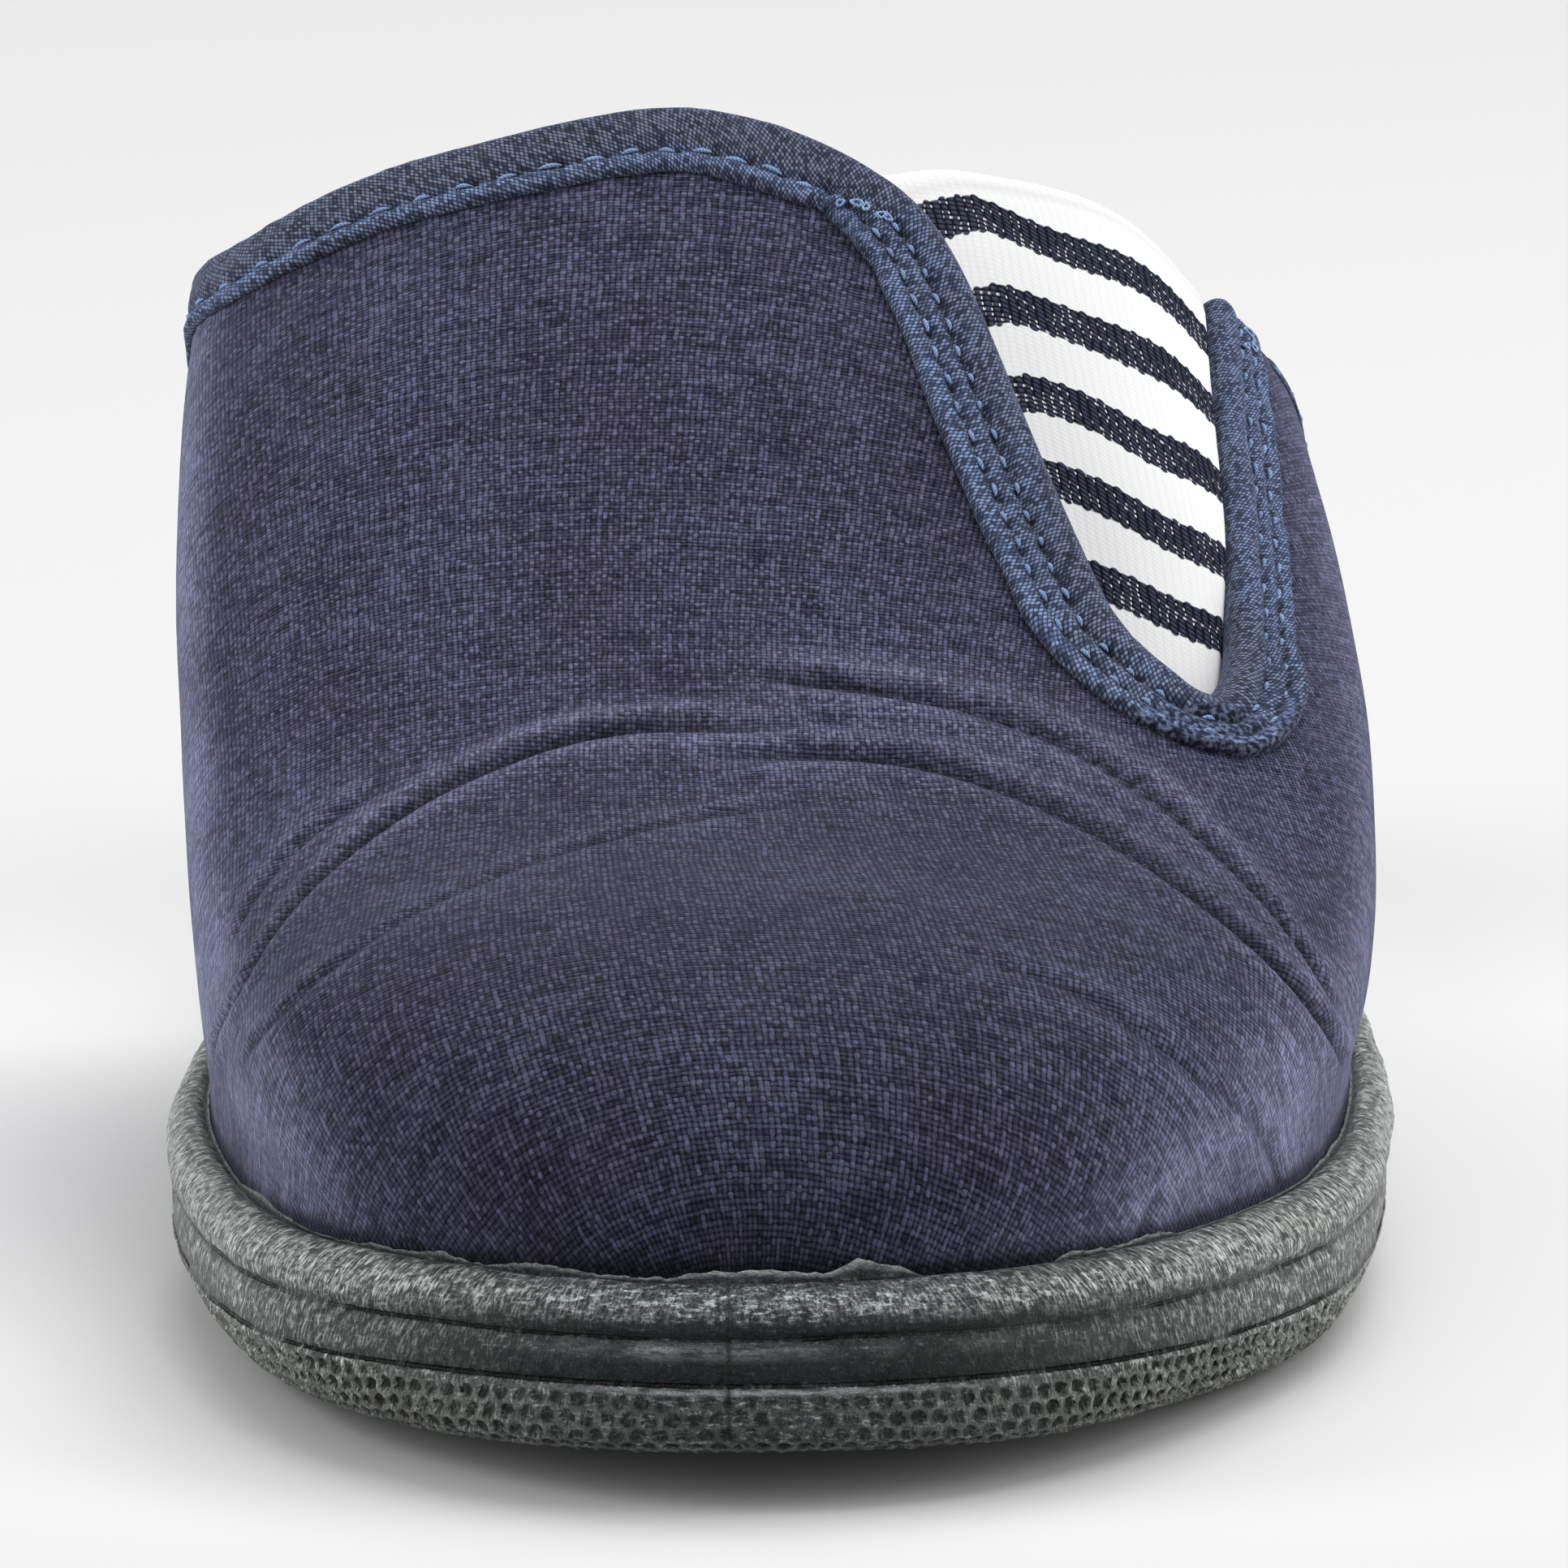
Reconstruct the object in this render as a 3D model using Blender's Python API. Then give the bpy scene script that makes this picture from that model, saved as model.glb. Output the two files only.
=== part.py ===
"""A clog slipper for the left foot, about EU 39: a canvas upper with an open back, an elastic gusset on
the outer side of its throat, folded tape on every cut edge, an insole, and a moulded rubber sole whose
rim stands up round the upper.

Sizes are millimetres in the shoe's own frame. The toe points to -Y, the outer side of the foot is +X and
the floor is z = 0. A station is a distance behind the tip of the toe. Points become metres when an
object's mesh is made."""

import math

import bmesh
import bpy
import numpy as np

METRE = 1000.0

# Driving dimensions
LENGTH = 262.0
BALL_WIDTH = 98.0
INSTEP_HEIGHT = 86.2  # floor to the crest of the throat
HEEL_HEIGHT = 18.0  # floor to the sole's bed under the heel

# Sole
FOREFOOT_BED = 7.5
TOE_SPRING = 4.6
TOE_BED_LIFT = 2.5
SPRING_LENGTH = 52.0
ARCH_LIFT = 1.5
ARCH_START, ARCH_END = 124.0, 184.0
HEEL_BEVEL = 2.0
HEEL_BEVEL_LENGTH = 12.0
HEEL_RAMP_START, HEEL_RAMP_END = 92.0, 205.0
RIM_HEIGHT = 7.5  # top of the rim over the bed
RIM_WIDTH = 3.3
FIT_GAP = 0.3
SIDE_SHIFT = 0.37  # brings the middle of the whole width to x = 0

# Upper and what is sewn to it
UPPER_WALL = 1.8
FOOT_CLEARANCE = 0.5  # upper's lower edge over the bed
FEATHER_STATION = 172.0  # where the throat line comes down to the sole on both sides
TOE_SWELL = 1.6
TOE_SWELL_LENGTH = 14.0
SHOULDER = 0.62  # share of each half section from the crest down to the widest level
SIDE_SPAN = 112.0  # length of a half section by the throat
TOE_ROW = 0.004  # first row of the upper, hidden behind the rim
TAPE_THICKNESS = 0.6
TAPE_WIDTH = 6.0
TAPE_TURN_IN = 3.0
TAPE_EASE = 0.4  # between the tape and the canvas inside its fold
TAPE_FOLD = 0.7  # between the canvas's cut edge and the tape's fold
TAPE_END_RISE = 4.0  # end of the tape over the rim, at the feather
CORNER_LEAN = math.radians(30)  # of the notch's medial edge, away from square to the throat line
GUSSET_THICKNESS = 1.0
GUSSET_CROWN = 1.6
GUSSET_OVERLAP = 5.0
GUSSET_FOOT = 0.625  # row of its lower end
GUSSET_RISE = 0.05  # rows by which the middle of its top edge stands over the throat line
GUSSET_NARROWING = 0.12  # share of its length in which the overlap grows from its foot

# Insole
INSOLE_THICKNESS = 4.0
INSOLE_EDGE = 0.8
INSOLE_WIDENING = 8.0  # length in which it widens from inside the upper to the rim

OUTLINE = (
    # station and edges, in percent of the length and of the ball width
    # station, medial, lateral
    (0.0, -4.1, -4.1),
    (3.8, -26.7, 21.7),
    (7.3, -35.4, 29.9),
    (11.5, -41.4, 36.5),
    (20.0, -47.3, 45.7),
    (28.6, -50.0, 49.2),
    (35.5, -49.8, 50.0),
    (42.0, -48.3, 49.4),
    (50.0, -46.0, 47.3),
    (60.0, -42.9, 43.2),
    (70.0, -40.0, 39.6),
    (80.0, -37.9, 37.0),
    (88.0, -34.3, 33.4),
    (94.0, -26.8, 26.2),
    (100.0, 0.0, 0.0),
)

SOLE_SIDE = (
    # name, inset from the outline, share of the side's height
    ("tread edge", 4.0, 0.0),
    ("tread round", 1.7, 0.06),
    ("lower band foot", 0.6, 0.20),
    ("lower band top", 0.35, 0.40),
    ("lower groove", 1.0, 0.425),
    ("middle band foot", 0.5, 0.45),
    ("middle band top", 0.4, 0.67),
    ("upper groove", 1.1, 0.695),
    ("bead foot", 0.35, 0.72),
    ("bead equator", 0.0, 0.80),
    ("bead shoulder", 0.5, 0.91),
    ("bead top", 1.6, 0.985),
    ("rim top", 2.6, 1.0),
    ("rim inner edge", RIM_WIDTH, 0.97),
)

SECTIONS = (
    # station in percent of the length, crest height in percent of the instep height, crest offset to the
    # side, then fullness, spread beyond the foot line and widest level for each side
    # station, crest, offset, medial: full, spread, level, lateral: full, spread, level
    (1.4, 12.0, -4.0, 2.2, 0.0, 0.35, 2.2, 0.0, 0.35),
    (3.2, 31.0, -4.4, 2.3, 0.0, 0.40, 2.3, 0.0, 0.40),
    (7.6, 41.0, -5.0, 2.4, 0.3, 0.45, 2.4, 0.3, 0.45),
    (15.3, 46.0, -5.4, 2.5, 1.0, 0.50, 2.5, 0.8, 0.50),
    (28.6, 53.5, -6.2, 2.5, 0.9, 0.50, 2.5, 1.8, 0.49),
    (36.2, 69.0, -7.0, 2.45, 3.0, 0.55, 2.4, 2.1, 0.48),
    (43.9, 90.0, -7.4, 2.05, 6.4, 0.62, 2.1, 2.5, 0.47),
    (51.5, 107.0, -7.4, 1.8, 8.0, 0.67, 2.15, 2.2, 0.45),
    (66.0, 118.0, -7.4, 1.75, 8.0, 0.67, 2.15, 2.8, 0.42),
)

THROAT = (
    # a place across the upper, then the station of its back edge there
    # across, station
    (-1.0, FEATHER_STATION),
    (-0.62, 145.0),
    (-0.50, 135.0),
    (-0.30, 128.0),
    (-0.10, 126.2),
    (0.02, 126.0),
    (0.12, 122.8),
    (0.30, 125.0),
    (0.38, 127.0),
    (0.46, 132.0),
    (0.62, 147.0),
    (1.0, FEATHER_STATION),
)

NOTCH = (
    # a row of the upper's surface, then the places across it of the opening's two edges
    # row, medial edge, lateral edge
    (0.658, 0.306, 0.306),
    (0.672, 0.275, 0.324),
    (0.704, 0.242, 0.336),
    (0.748, 0.222, 0.341),
    (0.820, 0.197, 0.350),
    (0.900, 0.171, 0.359),
    (0.960, 0.151, 0.364),
    (0.985, 0.138, 0.366),
    (1.000, 0.122, 0.367),
)


def natural_spline(knots, values):
    """A cubic curve through the knots, straight at both ends."""
    knots = np.array(knots, float)
    values = np.array(values, float)
    gaps = np.diff(knots)
    slopes = np.diff(values) / gaps
    system = np.eye(len(knots))
    change = np.zeros(len(knots))
    for i in range(1, len(knots) - 1):
        system[i, i - 1 : i + 2] = gaps[i - 1], 2 * (gaps[i - 1] + gaps[i]), gaps[i]
        change[i] = 6 * (slopes[i] - slopes[i - 1])
    bends = np.linalg.solve(system, change)

    def at(place):
        i = np.clip(np.searchsorted(knots, place) - 1, 0, len(gaps) - 1)
        left = (place - knots[i]) / gaps[i]
        right = 1 - left
        sag = (right**3 - right) * bends[i] + (left**3 - left) * bends[i + 1]
        return right * values[i] + left * values[i + 1] + sag * gaps[i] ** 2 / 6

    return at


def ease(share):
    """0 to 1 with level ends."""
    share = np.clip(share, 0, 1)
    return share * share * (3 - 2 * share)


# ---- Sole ----


def closed_outline():
    """Half turn 0 to pi runs down the medial side from toe to heel, pi to 2 pi comes back up the lateral."""
    station, medial, lateral = np.array(OUTLINE).T / 100
    turn = np.arccos(1 - 2 * station)
    turns = np.concatenate([turn, 2 * math.pi - turn[-2:0:-1]])
    edges = np.concatenate([medial, lateral[-2:0:-1]]) * BALL_WIDTH
    wrapped = np.concatenate([turns - 2 * math.pi, turns, turns + 2 * math.pi])
    return natural_spline(wrapped, np.tile(edges, 3))


OUTLINE_EDGE = closed_outline()


def outline(turn, inset=0.0):
    """x and station of the sole's outline, moved inwards by inset."""
    step = 1e-3

    def plain(at):
        return OUTLINE_EDGE(at), LENGTH * (1 - np.cos(at)) / 2

    x, station = plain(turn)
    x_after, station_after = plain(turn + step)
    x_before, station_before = plain(turn - step)
    run_x, run_station = x_after - x_before, station_after - station_before
    run = np.hypot(run_x, run_station)
    return x + inset * run_station / run, station - inset * run_x / run


def toe_lift(station):
    return np.clip(1 - station / SPRING_LENGTH, 0, 1) ** 1.5


def floor_side(station):
    """Height of the tread: toe spring, flat forefoot, shallow arch, flat heel, bevel at the back."""
    arch = np.clip((station - ARCH_START) / (ARCH_END - ARCH_START), 0, 1)
    bevel = np.clip((station - LENGTH) / HEEL_BEVEL_LENGTH + 1, 0, 1)
    arch_height = ARCH_LIFT * np.sin(math.pi * arch) ** 2
    return TOE_SPRING * toe_lift(station) + arch_height + HEEL_BEVEL * bevel**2


def bed(station):
    ramp = ease((station - HEEL_RAMP_START) / (HEEL_RAMP_END - HEEL_RAMP_START))
    return FOREFOOT_BED + TOE_BED_LIFT * toe_lift(station) + (HEEL_HEIGHT - FOREFOOT_BED) * ramp


def rim(station):
    return bed(station) + RIM_HEIGHT


def to_points(x, station, height):
    return np.stack([x + SIDE_SHIFT, station - LENGTH / 2, height], axis=-1)


def ring(count, inset, height):
    """Points round the shoe, with height a function of station."""
    x, station = outline(np.arange(count) * 2 * math.pi / count, inset)
    return to_points(x, station, height(station))


def ladder(first, count, up):
    """Faces that close a ring, from toe to heel."""
    half = count // 2
    faces = [(0, 1, count - 1)]
    faces += [(k, k + 1, count - k - 1, count - k) for k in range(1, half - 1)]
    faces.append((half - 1, half, half + 1))
    faces = [tuple(first + corner for corner in face) for face in faces]
    return faces if up else [face[::-1] for face in faces]


def stacked_rings(rings):
    """Points and faces of a solid whose rings run from its underside, up its side, to its top."""
    count = len(rings[0])
    faces = ladder(0, count, up=False)
    for level in range(len(rings) - 1):
        low, high = level * count, (level + 1) * count
        for k in range(count):
            after = (k + 1) % count
            faces.append((low + k, high + k, high + after, low + after))
    faces += ladder(count * (len(rings) - 1), count, up=True)
    return np.concatenate(rings), faces


def outsole():
    count = 84

    def level(share):
        return lambda station: floor_side(station) + share * (rim(station) - floor_side(station))

    rings = [ring(count, inset, level(share)) for _, inset, share in SOLE_SIDE]
    rings.append(ring(count, RIM_WIDTH, bed))
    return stacked_rings(rings)


def insole():
    """It lies in the upper from the toe to the feather, then widens to the rim of the open heel."""
    count = 84
    in_upper = RIM_WIDTH + 4 * FIT_GAP + UPPER_WALL
    in_rim = RIM_WIDTH + FIT_GAP
    turn = np.arange(count) * 2 * math.pi / count
    _, station = outline(turn)
    widen = ease((station - FEATHER_STATION - INSOLE_EDGE) / INSOLE_WIDENING)
    rows = (
        # inset beyond the outline's own, height over the bed
        (0.0, FIT_GAP),
        (0.0, INSOLE_THICKNESS - INSOLE_EDGE),
        (INSOLE_EDGE, INSOLE_THICKNESS + FIT_GAP),
    )
    rings = []
    for inset, height in rows:
        x, station = outline(turn, in_upper + (in_rim - in_upper) * widen + inset)
        rings.append(to_points(x, station, bed(station) + height))
    return stacked_rings(rings)


# ---- Surface of the upper ----


def foot_lines():
    """Stations of the upper's foot at toe and heel, and its x on each side as functions of station."""
    count = 1440
    x, station = outline(np.arange(count) * 2 * math.pi / count, RIM_WIDTH + FIT_GAP)
    half = count // 2
    first, last = station[0], station[half]
    medial = x[: half + 1], station[: half + 1]
    lateral = np.append(x[half:], x[0])[::-1], np.append(station[half:], first)[::-1]

    def side(xs, stations):
        turns = np.arccos(np.clip(1 - 2 * (stations - first) / (last - first), -1, 1))
        return lambda at: np.interp(np.arccos(1 - 2 * (at - first) / (last - first)), turns, xs)

    return first, side(*medial), side(*lateral)


TOE_FOOT, MEDIAL_FOOT, LATERAL_FOOT = foot_lines()


def section_columns():
    """Each column of SECTIONS as a curve over the root of the distance behind the toe's foot."""
    rows = np.array(SECTIONS)
    stations = rows[:, 0] / 100 * LENGTH
    stations[0] = TOE_FOOT
    rows[:, 1] *= INSTEP_HEIGHT / 100
    rows[0, 1] = bed(TOE_FOOT) + FOOT_CLEARANCE
    roots = np.sqrt(stations - TOE_FOOT)
    return [natural_spline(roots, column) for column in rows.T[1:]]


SECTION = section_columns()


throat_station = natural_spline(*zip(*THROAT))


def skin(row, across):
    """A point of the upper's outer face. row runs 0 to 1 from toe to throat, across -1 to 1 from the
    medial foot over the crest (0) to the lateral foot."""
    station = TOE_FOOT + (throat_station(across) - TOE_FOOT) * row
    root = np.sqrt(station - TOE_FOOT)
    crest, offset, *sides = [column(root) for column in SECTION]
    medial = across < 0
    full, spread, level = [np.where(medial, sides[i], sides[i + 3]) for i in range(3)]
    outwards = np.where(medial, -1.0, 1.0)
    foot_x = np.where(medial, MEDIAL_FOOT(station), LATERAL_FOOT(station))
    foot_z = bed(station) + FOOT_CLEARANCE
    wide_x = foot_x + outwards * spread
    wide_z = foot_z + level * (crest - foot_z)

    angle = math.pi / 2 * (1 - np.abs(across) / SHOULDER)
    reach = (np.abs(np.cos(angle)) ** full + np.abs(np.sin(angle)) ** full) ** (-1 / full)
    above = np.abs(across) <= SHOULDER
    side_z = foot_z + (wide_z - foot_z) * (1 - np.abs(across)) / (1 - SHOULDER)
    swell = ease((side_z - rim(station)) / np.maximum(wide_z - rim(station), 1.0))
    side_x = foot_x + (wide_x - foot_x) * swell
    x = np.where(above, offset + (wide_x - offset) * np.cos(angle) * reach, side_x)
    z = np.where(above, wide_z + (crest - wide_z) * np.sin(angle) * reach, side_z)

    fade = np.exp(-((station - TOE_FOOT) / TOE_SWELL_LENGTH))
    toe_swell = TOE_SWELL * fade * ease((z - rim(station)) / RIM_HEIGHT)
    return to_points(x, station - toe_swell, z)


def skin_frame(row, across):
    """Slopes of the skin along row and across, and its outward normal."""
    step = 1e-3
    along_row = (skin(row + step, across) - skin(row - step, across)) / (2 * step)
    along_across = (skin(row, across + step) - skin(row, across - step)) / (2 * step)
    normal = np.cross(along_across, along_row)
    return along_row, along_across, normal / np.linalg.norm(normal, axis=-1, keepdims=True)


def skin_at(row, across, level):
    """A point of the upper's wall, level millimetres outside its outer face."""
    return skin(row, across) + skin_frame(row, across)[2] * np.expand_dims(level, -1)


# ---- Solids made from that surface ----


def thick_sheet(outer, inner, faces):
    """Closes two copies of one open sheet along their free edges."""
    count = len(outer)
    edges = {(a, b) for face in faces for a, b in zip(face, face[1:] + face[:1])}
    free = [(a, b) for a, b in edges if (b, a) not in edges]
    closed = list(faces)
    closed += [tuple(count + corner for corner in face[::-1]) for face in faces]
    closed += [(b, a, count + a, count + b) for a, b in sorted(free)]
    return np.concatenate([outer, inner]), closed


def grid_faces(index):
    """Quads of a grid of point numbers, rows by columns."""
    rows, columns = index.shape
    return [
        (index[r, c], index[r, c + 1], index[r + 1, c + 1], index[r + 1, c])
        for r in range(rows - 1)
        for c in range(columns - 1)
    ]


NOTCH_ROWS, NOTCH_MEDIAL, NOTCH_LATERAL = np.array(NOTCH).T
NOTCH_FOOT = NOTCH_ROWS[0]
NOTCH_REACH = np.sqrt(NOTCH_ROWS - NOTCH_FOOT)
MEDIAL_EDGE = natural_spline(NOTCH_REACH, NOTCH_MEDIAL)
LATERAL_EDGE = natural_spline(NOTCH_REACH, NOTCH_LATERAL)


def notch_reach(row):
    return np.sqrt(np.clip(row - NOTCH_FOOT, 0, None))


FRONT_ROWS = TOE_ROW + (NOTCH_FOOT - TOE_ROW) * np.linspace(0, 1, 18) ** 1.6
OPEN_ROWS = NOTCH_FOOT + (1 - NOTCH_FOOT) * np.linspace(0, 1, 15) ** 1.9
MEDIAL_STEPS = np.linspace(0, 1, 27)
LATERAL_STEPS = np.linspace(0, 1, 15)


def upper():
    """A grid split at the notch: its medial columns lean away from its lateral ones."""
    rows = np.concatenate([FRONT_ROWS, OPEN_ROWS[1:]])
    medial_edge = MEDIAL_EDGE(notch_reach(rows))[:, None]
    lateral_edge = LATERAL_EDGE(notch_reach(rows))[:, None]
    medial = -1 + (medial_edge + 1) * MEDIAL_STEPS
    lateral = lateral_edge + (1 - lateral_edge) * LATERAL_STEPS
    across = np.concatenate([medial, lateral], axis=1)
    row = np.repeat(rows[:, None], across.shape[1], axis=1)
    index = np.arange(row.size).reshape(row.shape)
    seam, joined = len(MEDIAL_STEPS), len(FRONT_ROWS)
    index[:joined, seam] = index[:joined, seam - 1]
    faces = grid_faces(index[:, :seam]) + grid_faces(index[:, seam:])
    used, faces = np.unique(np.array(faces), return_inverse=True)
    faces = [tuple(face) for face in faces.reshape(-1, 4).tolist()]
    row, across = row.ravel()[used], across.ravel()[used]
    return thick_sheet(skin_at(row, across, 0.0), skin_at(row, across, -UPPER_WALL), faces)


def elastic_gusset():
    """A panel behind the notch that swells a little through its opening."""
    share = np.linspace(TOE_ROW, 1, 15)[:, None] ** 1.6
    row = GUSSET_FOOT + (1 - GUSSET_FOOT) * share
    reach = notch_reach(NOTCH_FOOT + (1 - NOTCH_FOOT) * share)
    overlap = GUSSET_OVERLAP / SIDE_SPAN * np.sqrt(np.clip(share / GUSSET_NARROWING, 0, 1))
    opening = LATERAL_EDGE(reach) - MEDIAL_EDGE(reach)
    across = MEDIAL_EDGE(reach) - overlap + (opening + 2 * overlap) * np.linspace(0, 1, 13)
    open_share = np.clip((across - MEDIAL_EDGE(reach)) / opening, 0, 1)
    crown = GUSSET_CROWN * np.sin(math.pi * open_share) ** 2 * ease(share / 0.5)
    level = crown - (UPPER_WALL + 2.5 * FIT_GAP + TAPE_THICKNESS)
    row = row + GUSSET_RISE * np.sqrt(np.sin(math.pi * open_share)) * ease(share)
    faces = grid_faces(np.arange(across.size).reshape(across.shape))
    faces = [tuple(int(corner) for corner in face) for face in faces]
    outer = skin_at(row, across, level).reshape(-1, 3)
    inner = skin_at(row, across, level - GUSSET_THICKNESS).reshape(-1, 3)
    return thick_sheet(outer, inner, faces)


def tape_section():
    """The folded tape's closed section: distances from the cut edge into the canvas, and levels."""
    outside, inside = TAPE_EASE, -UPPER_WALL - TAPE_EASE
    turn = TAPE_FOLD + TAPE_THICKNESS
    middle = -UPPER_WALL / 2
    return (
        (TAPE_WIDTH, outside),
        (TAPE_WIDTH, outside + TAPE_THICKNESS),
        (TAPE_WIDTH / 2, outside + TAPE_THICKNESS),
        (0.0, outside + TAPE_THICKNESS),
        (-turn * 0.8, outside + TAPE_THICKNESS * 0.3),
        (-turn, middle),
        (-turn * 0.8, inside - TAPE_THICKNESS * 0.3),
        (0.0, inside - TAPE_THICKNESS),
        (TAPE_TURN_IN, inside - TAPE_THICKNESS),
        (TAPE_TURN_IN, inside),
        (0.0, inside),
        (-TAPE_FOLD, middle),
        (0.0, outside),
        (TAPE_WIDTH / 2, outside),
    )


def tape(row, across, leans=(0.0, 0.0)):
    """Tape folded over the canvas along an edge that runs through row and across, with the canvas to
    its right, seen from outside. leans are angles by which its two cut ends lean forwards."""
    along_row, along_across, normal = skin_frame(row, across)
    run = np.gradient(skin(row, across), axis=0)
    run /= np.linalg.norm(run, axis=1, keepdims=True)
    inwards = np.cross(run, normal)
    for end, lean in zip((0, -1), leans):
        inwards[end] += math.tan(lean) * run[end]
    slopes = np.stack([along_row, along_across], axis=-1)
    steps = np.linalg.pinv(slopes) @ inwards[:, :, None]
    row_step, across_step = steps[:, 0, 0], steps[:, 1, 0]
    section = tape_section()
    lines = []
    for distance, level in section:
        into = max(distance, 0.0)
        line = skin_at(row + into * row_step, across + into * across_step, level)
        lines.append(line + inwards * min(distance, 0.0))
    points = np.stack(lines, axis=1).reshape(-1, 3)
    corners, stops = len(section), len(row)
    faces = [tuple(range(corners))]
    for stop in range(stops - 1):
        for corner in range(corners):
            after = (corner + 1) % corners
            here, there = stop * corners, (stop + 1) * corners
            faces.append((here + corner, there + corner, there + after, here + after))
    faces.append(tuple(range((stops - 1) * corners, stops * corners))[::-1])
    return points, faces


def feather_place(outwards):
    """Place across the throat line where the tape ends over the rim, on the side named by its sign."""
    across = outwards * np.linspace(SHOULDER, 1, 400)
    edge = skin(np.ones_like(across), across)
    clear = edge[:, 2] > rim(edge[:, 1] + LENGTH / 2) + TAPE_END_RISE
    return across[clear][-1]


def stops_between(first, last, columns):
    """The upper's own columns from first to last, so that tape and canvas bend at the same places."""
    inner = columns[(columns > first + 0.01) & (columns < last - 0.01)]
    return np.concatenate([[first], inner, [last]])


def topline_binding():
    columns = -1 + (NOTCH_MEDIAL[-1] + 1) * MEDIAL_STEPS
    last = NOTCH_MEDIAL[-1] - (TAPE_WIDTH + 2 * FIT_GAP) / math.cos(CORNER_LEAN) / SIDE_SPAN
    across = stops_between(feather_place(-1), last, columns)
    return tape(np.ones_like(across), across, leans=(0.0, CORNER_LEAN))


def quarter_binding():
    columns = NOTCH_LATERAL[-1] + (1 - NOTCH_LATERAL[-1]) * LATERAL_STEPS
    first = NOTCH_LATERAL[-1] + (TAPE_WIDTH + 3 * FIT_GAP) / SIDE_SPAN
    across = stops_between(first, feather_place(1), columns)
    return tape(np.ones_like(across), across)


def notch_binding():
    """Down the medial edge, round the foot and up the lateral edge, to the outside of the other tapes."""
    top = 1 + (TAPE_FOLD + TAPE_THICKNESS) / (throat_station(0.0) - TOE_FOOT)
    reach = notch_reach(np.append(OPEN_ROWS[1:], top))
    row = NOTCH_FOOT + np.concatenate([reach[::-1], [0], reach]) ** 2
    across = np.concatenate([MEDIAL_EDGE(reach)[::-1], [NOTCH_MEDIAL[0]], LATERAL_EDGE(reach)])
    return tape(row, across, leans=(-CORNER_LEAN, 0.0))


def solid(name, shape, material):
    points, faces = shape
    mesh = bpy.data.meshes.new(name)
    mesh.from_pydata((points / METRE).tolist(), [], faces)
    mesh.update()
    shaper = bmesh.new()
    shaper.from_mesh(mesh)
    bmesh.ops.recalc_face_normals(shaper, faces=shaper.faces)
    shaper.to_mesh(mesh)
    shaper.free()
    mesh.shade_smooth()
    mesh.set_sharp_from_angle(angle=math.radians(40))
    mesh.materials.append(material)
    made = bpy.data.objects.new(name, mesh)
    bpy.context.scene.collection.objects.link(made)
    return made


def surface(name, colour, roughness):
    material = bpy.data.materials.new(name)
    material.use_nodes = True
    shader = material.node_tree.nodes["Principled BSDF"]
    shader.inputs["Base Color"].default_value = (*colour, 1.0)
    shader.inputs["Roughness"].default_value = roughness
    shader.inputs["Metallic"].default_value = 0.0
    return material


def main():
    for old in list(bpy.data.objects):
        bpy.data.objects.remove(old, do_unlink=True)
    rubber = surface("sole rubber", (0.26, 0.28, 0.27), 0.7)
    cloth = surface("insole cloth", (0.12, 0.12, 0.14), 0.95)
    canvas = surface("navy canvas", (0.056, 0.055, 0.099), 0.9)
    elastic = surface("white elastic", (0.87, 0.87, 0.86), 0.8)
    twill = surface("navy twill tape", (0.058, 0.069, 0.115), 0.85)
    solid("outsole", outsole(), rubber)
    solid("insole", insole(), cloth)
    solid("upper", upper(), canvas)
    solid("elastic_gusset", elastic_gusset(), elastic)
    solid("topline_binding", topline_binding(), twill)
    solid("notch_binding", notch_binding(), twill)
    solid("quarter_binding", quarter_binding(), twill)


main()
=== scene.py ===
"""Looks of a clog slipper for the left foot: creased canvas, folded twill tape with its stitches, striped
elastic, a cloth footbed, and a marbled rubber sole with grooves, dimples and mould flash.

Shapes are worked out in millimetres in the part's own frame: the toe points to -Y, the outer side of the
foot is +X and the floor is z = 0. A station is a distance behind the tip of the toe."""

import math

import bpy
import numpy as np
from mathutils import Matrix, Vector


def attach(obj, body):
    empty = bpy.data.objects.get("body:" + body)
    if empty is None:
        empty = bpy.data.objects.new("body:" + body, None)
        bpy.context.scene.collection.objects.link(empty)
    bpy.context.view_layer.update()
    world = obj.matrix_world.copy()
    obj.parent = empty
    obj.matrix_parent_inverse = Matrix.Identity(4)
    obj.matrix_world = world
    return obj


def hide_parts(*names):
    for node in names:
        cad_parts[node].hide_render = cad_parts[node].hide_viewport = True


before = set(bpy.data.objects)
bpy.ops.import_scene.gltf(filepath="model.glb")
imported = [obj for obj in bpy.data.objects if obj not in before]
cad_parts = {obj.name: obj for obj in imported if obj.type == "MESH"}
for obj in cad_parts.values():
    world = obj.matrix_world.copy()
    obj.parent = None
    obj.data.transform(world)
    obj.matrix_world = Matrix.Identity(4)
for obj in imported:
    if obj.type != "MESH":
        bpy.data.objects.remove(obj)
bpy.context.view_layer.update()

METRE = 1000.0

# Driving dimensions
LENGTH = 262.0
BALL_WIDTH = 98.0
INSTEP_HEIGHT = 86.2  # floor to the crest of the throat
HEEL_HEIGHT = 18.0  # floor to the sole's bed under the heel

# Sole
FOREFOOT_BED = 7.5
TOE_SPRING = 4.6
TOE_BED_LIFT = 2.5
SPRING_LENGTH = 52.0
ARCH_LIFT = 1.5
ARCH_START, ARCH_END = 124.0, 184.0
HEEL_BEVEL = 2.0
HEEL_BEVEL_LENGTH = 12.0
HEEL_RAMP_START, HEEL_RAMP_END = 92.0, 205.0
RIM_HEIGHT = 7.5  # top of the rim over the bed
RIM_WIDTH = 3.3
FIT_GAP = 0.3
SIDE_SHIFT = 0.37  # brings the middle of the whole width to x = 0

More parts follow.
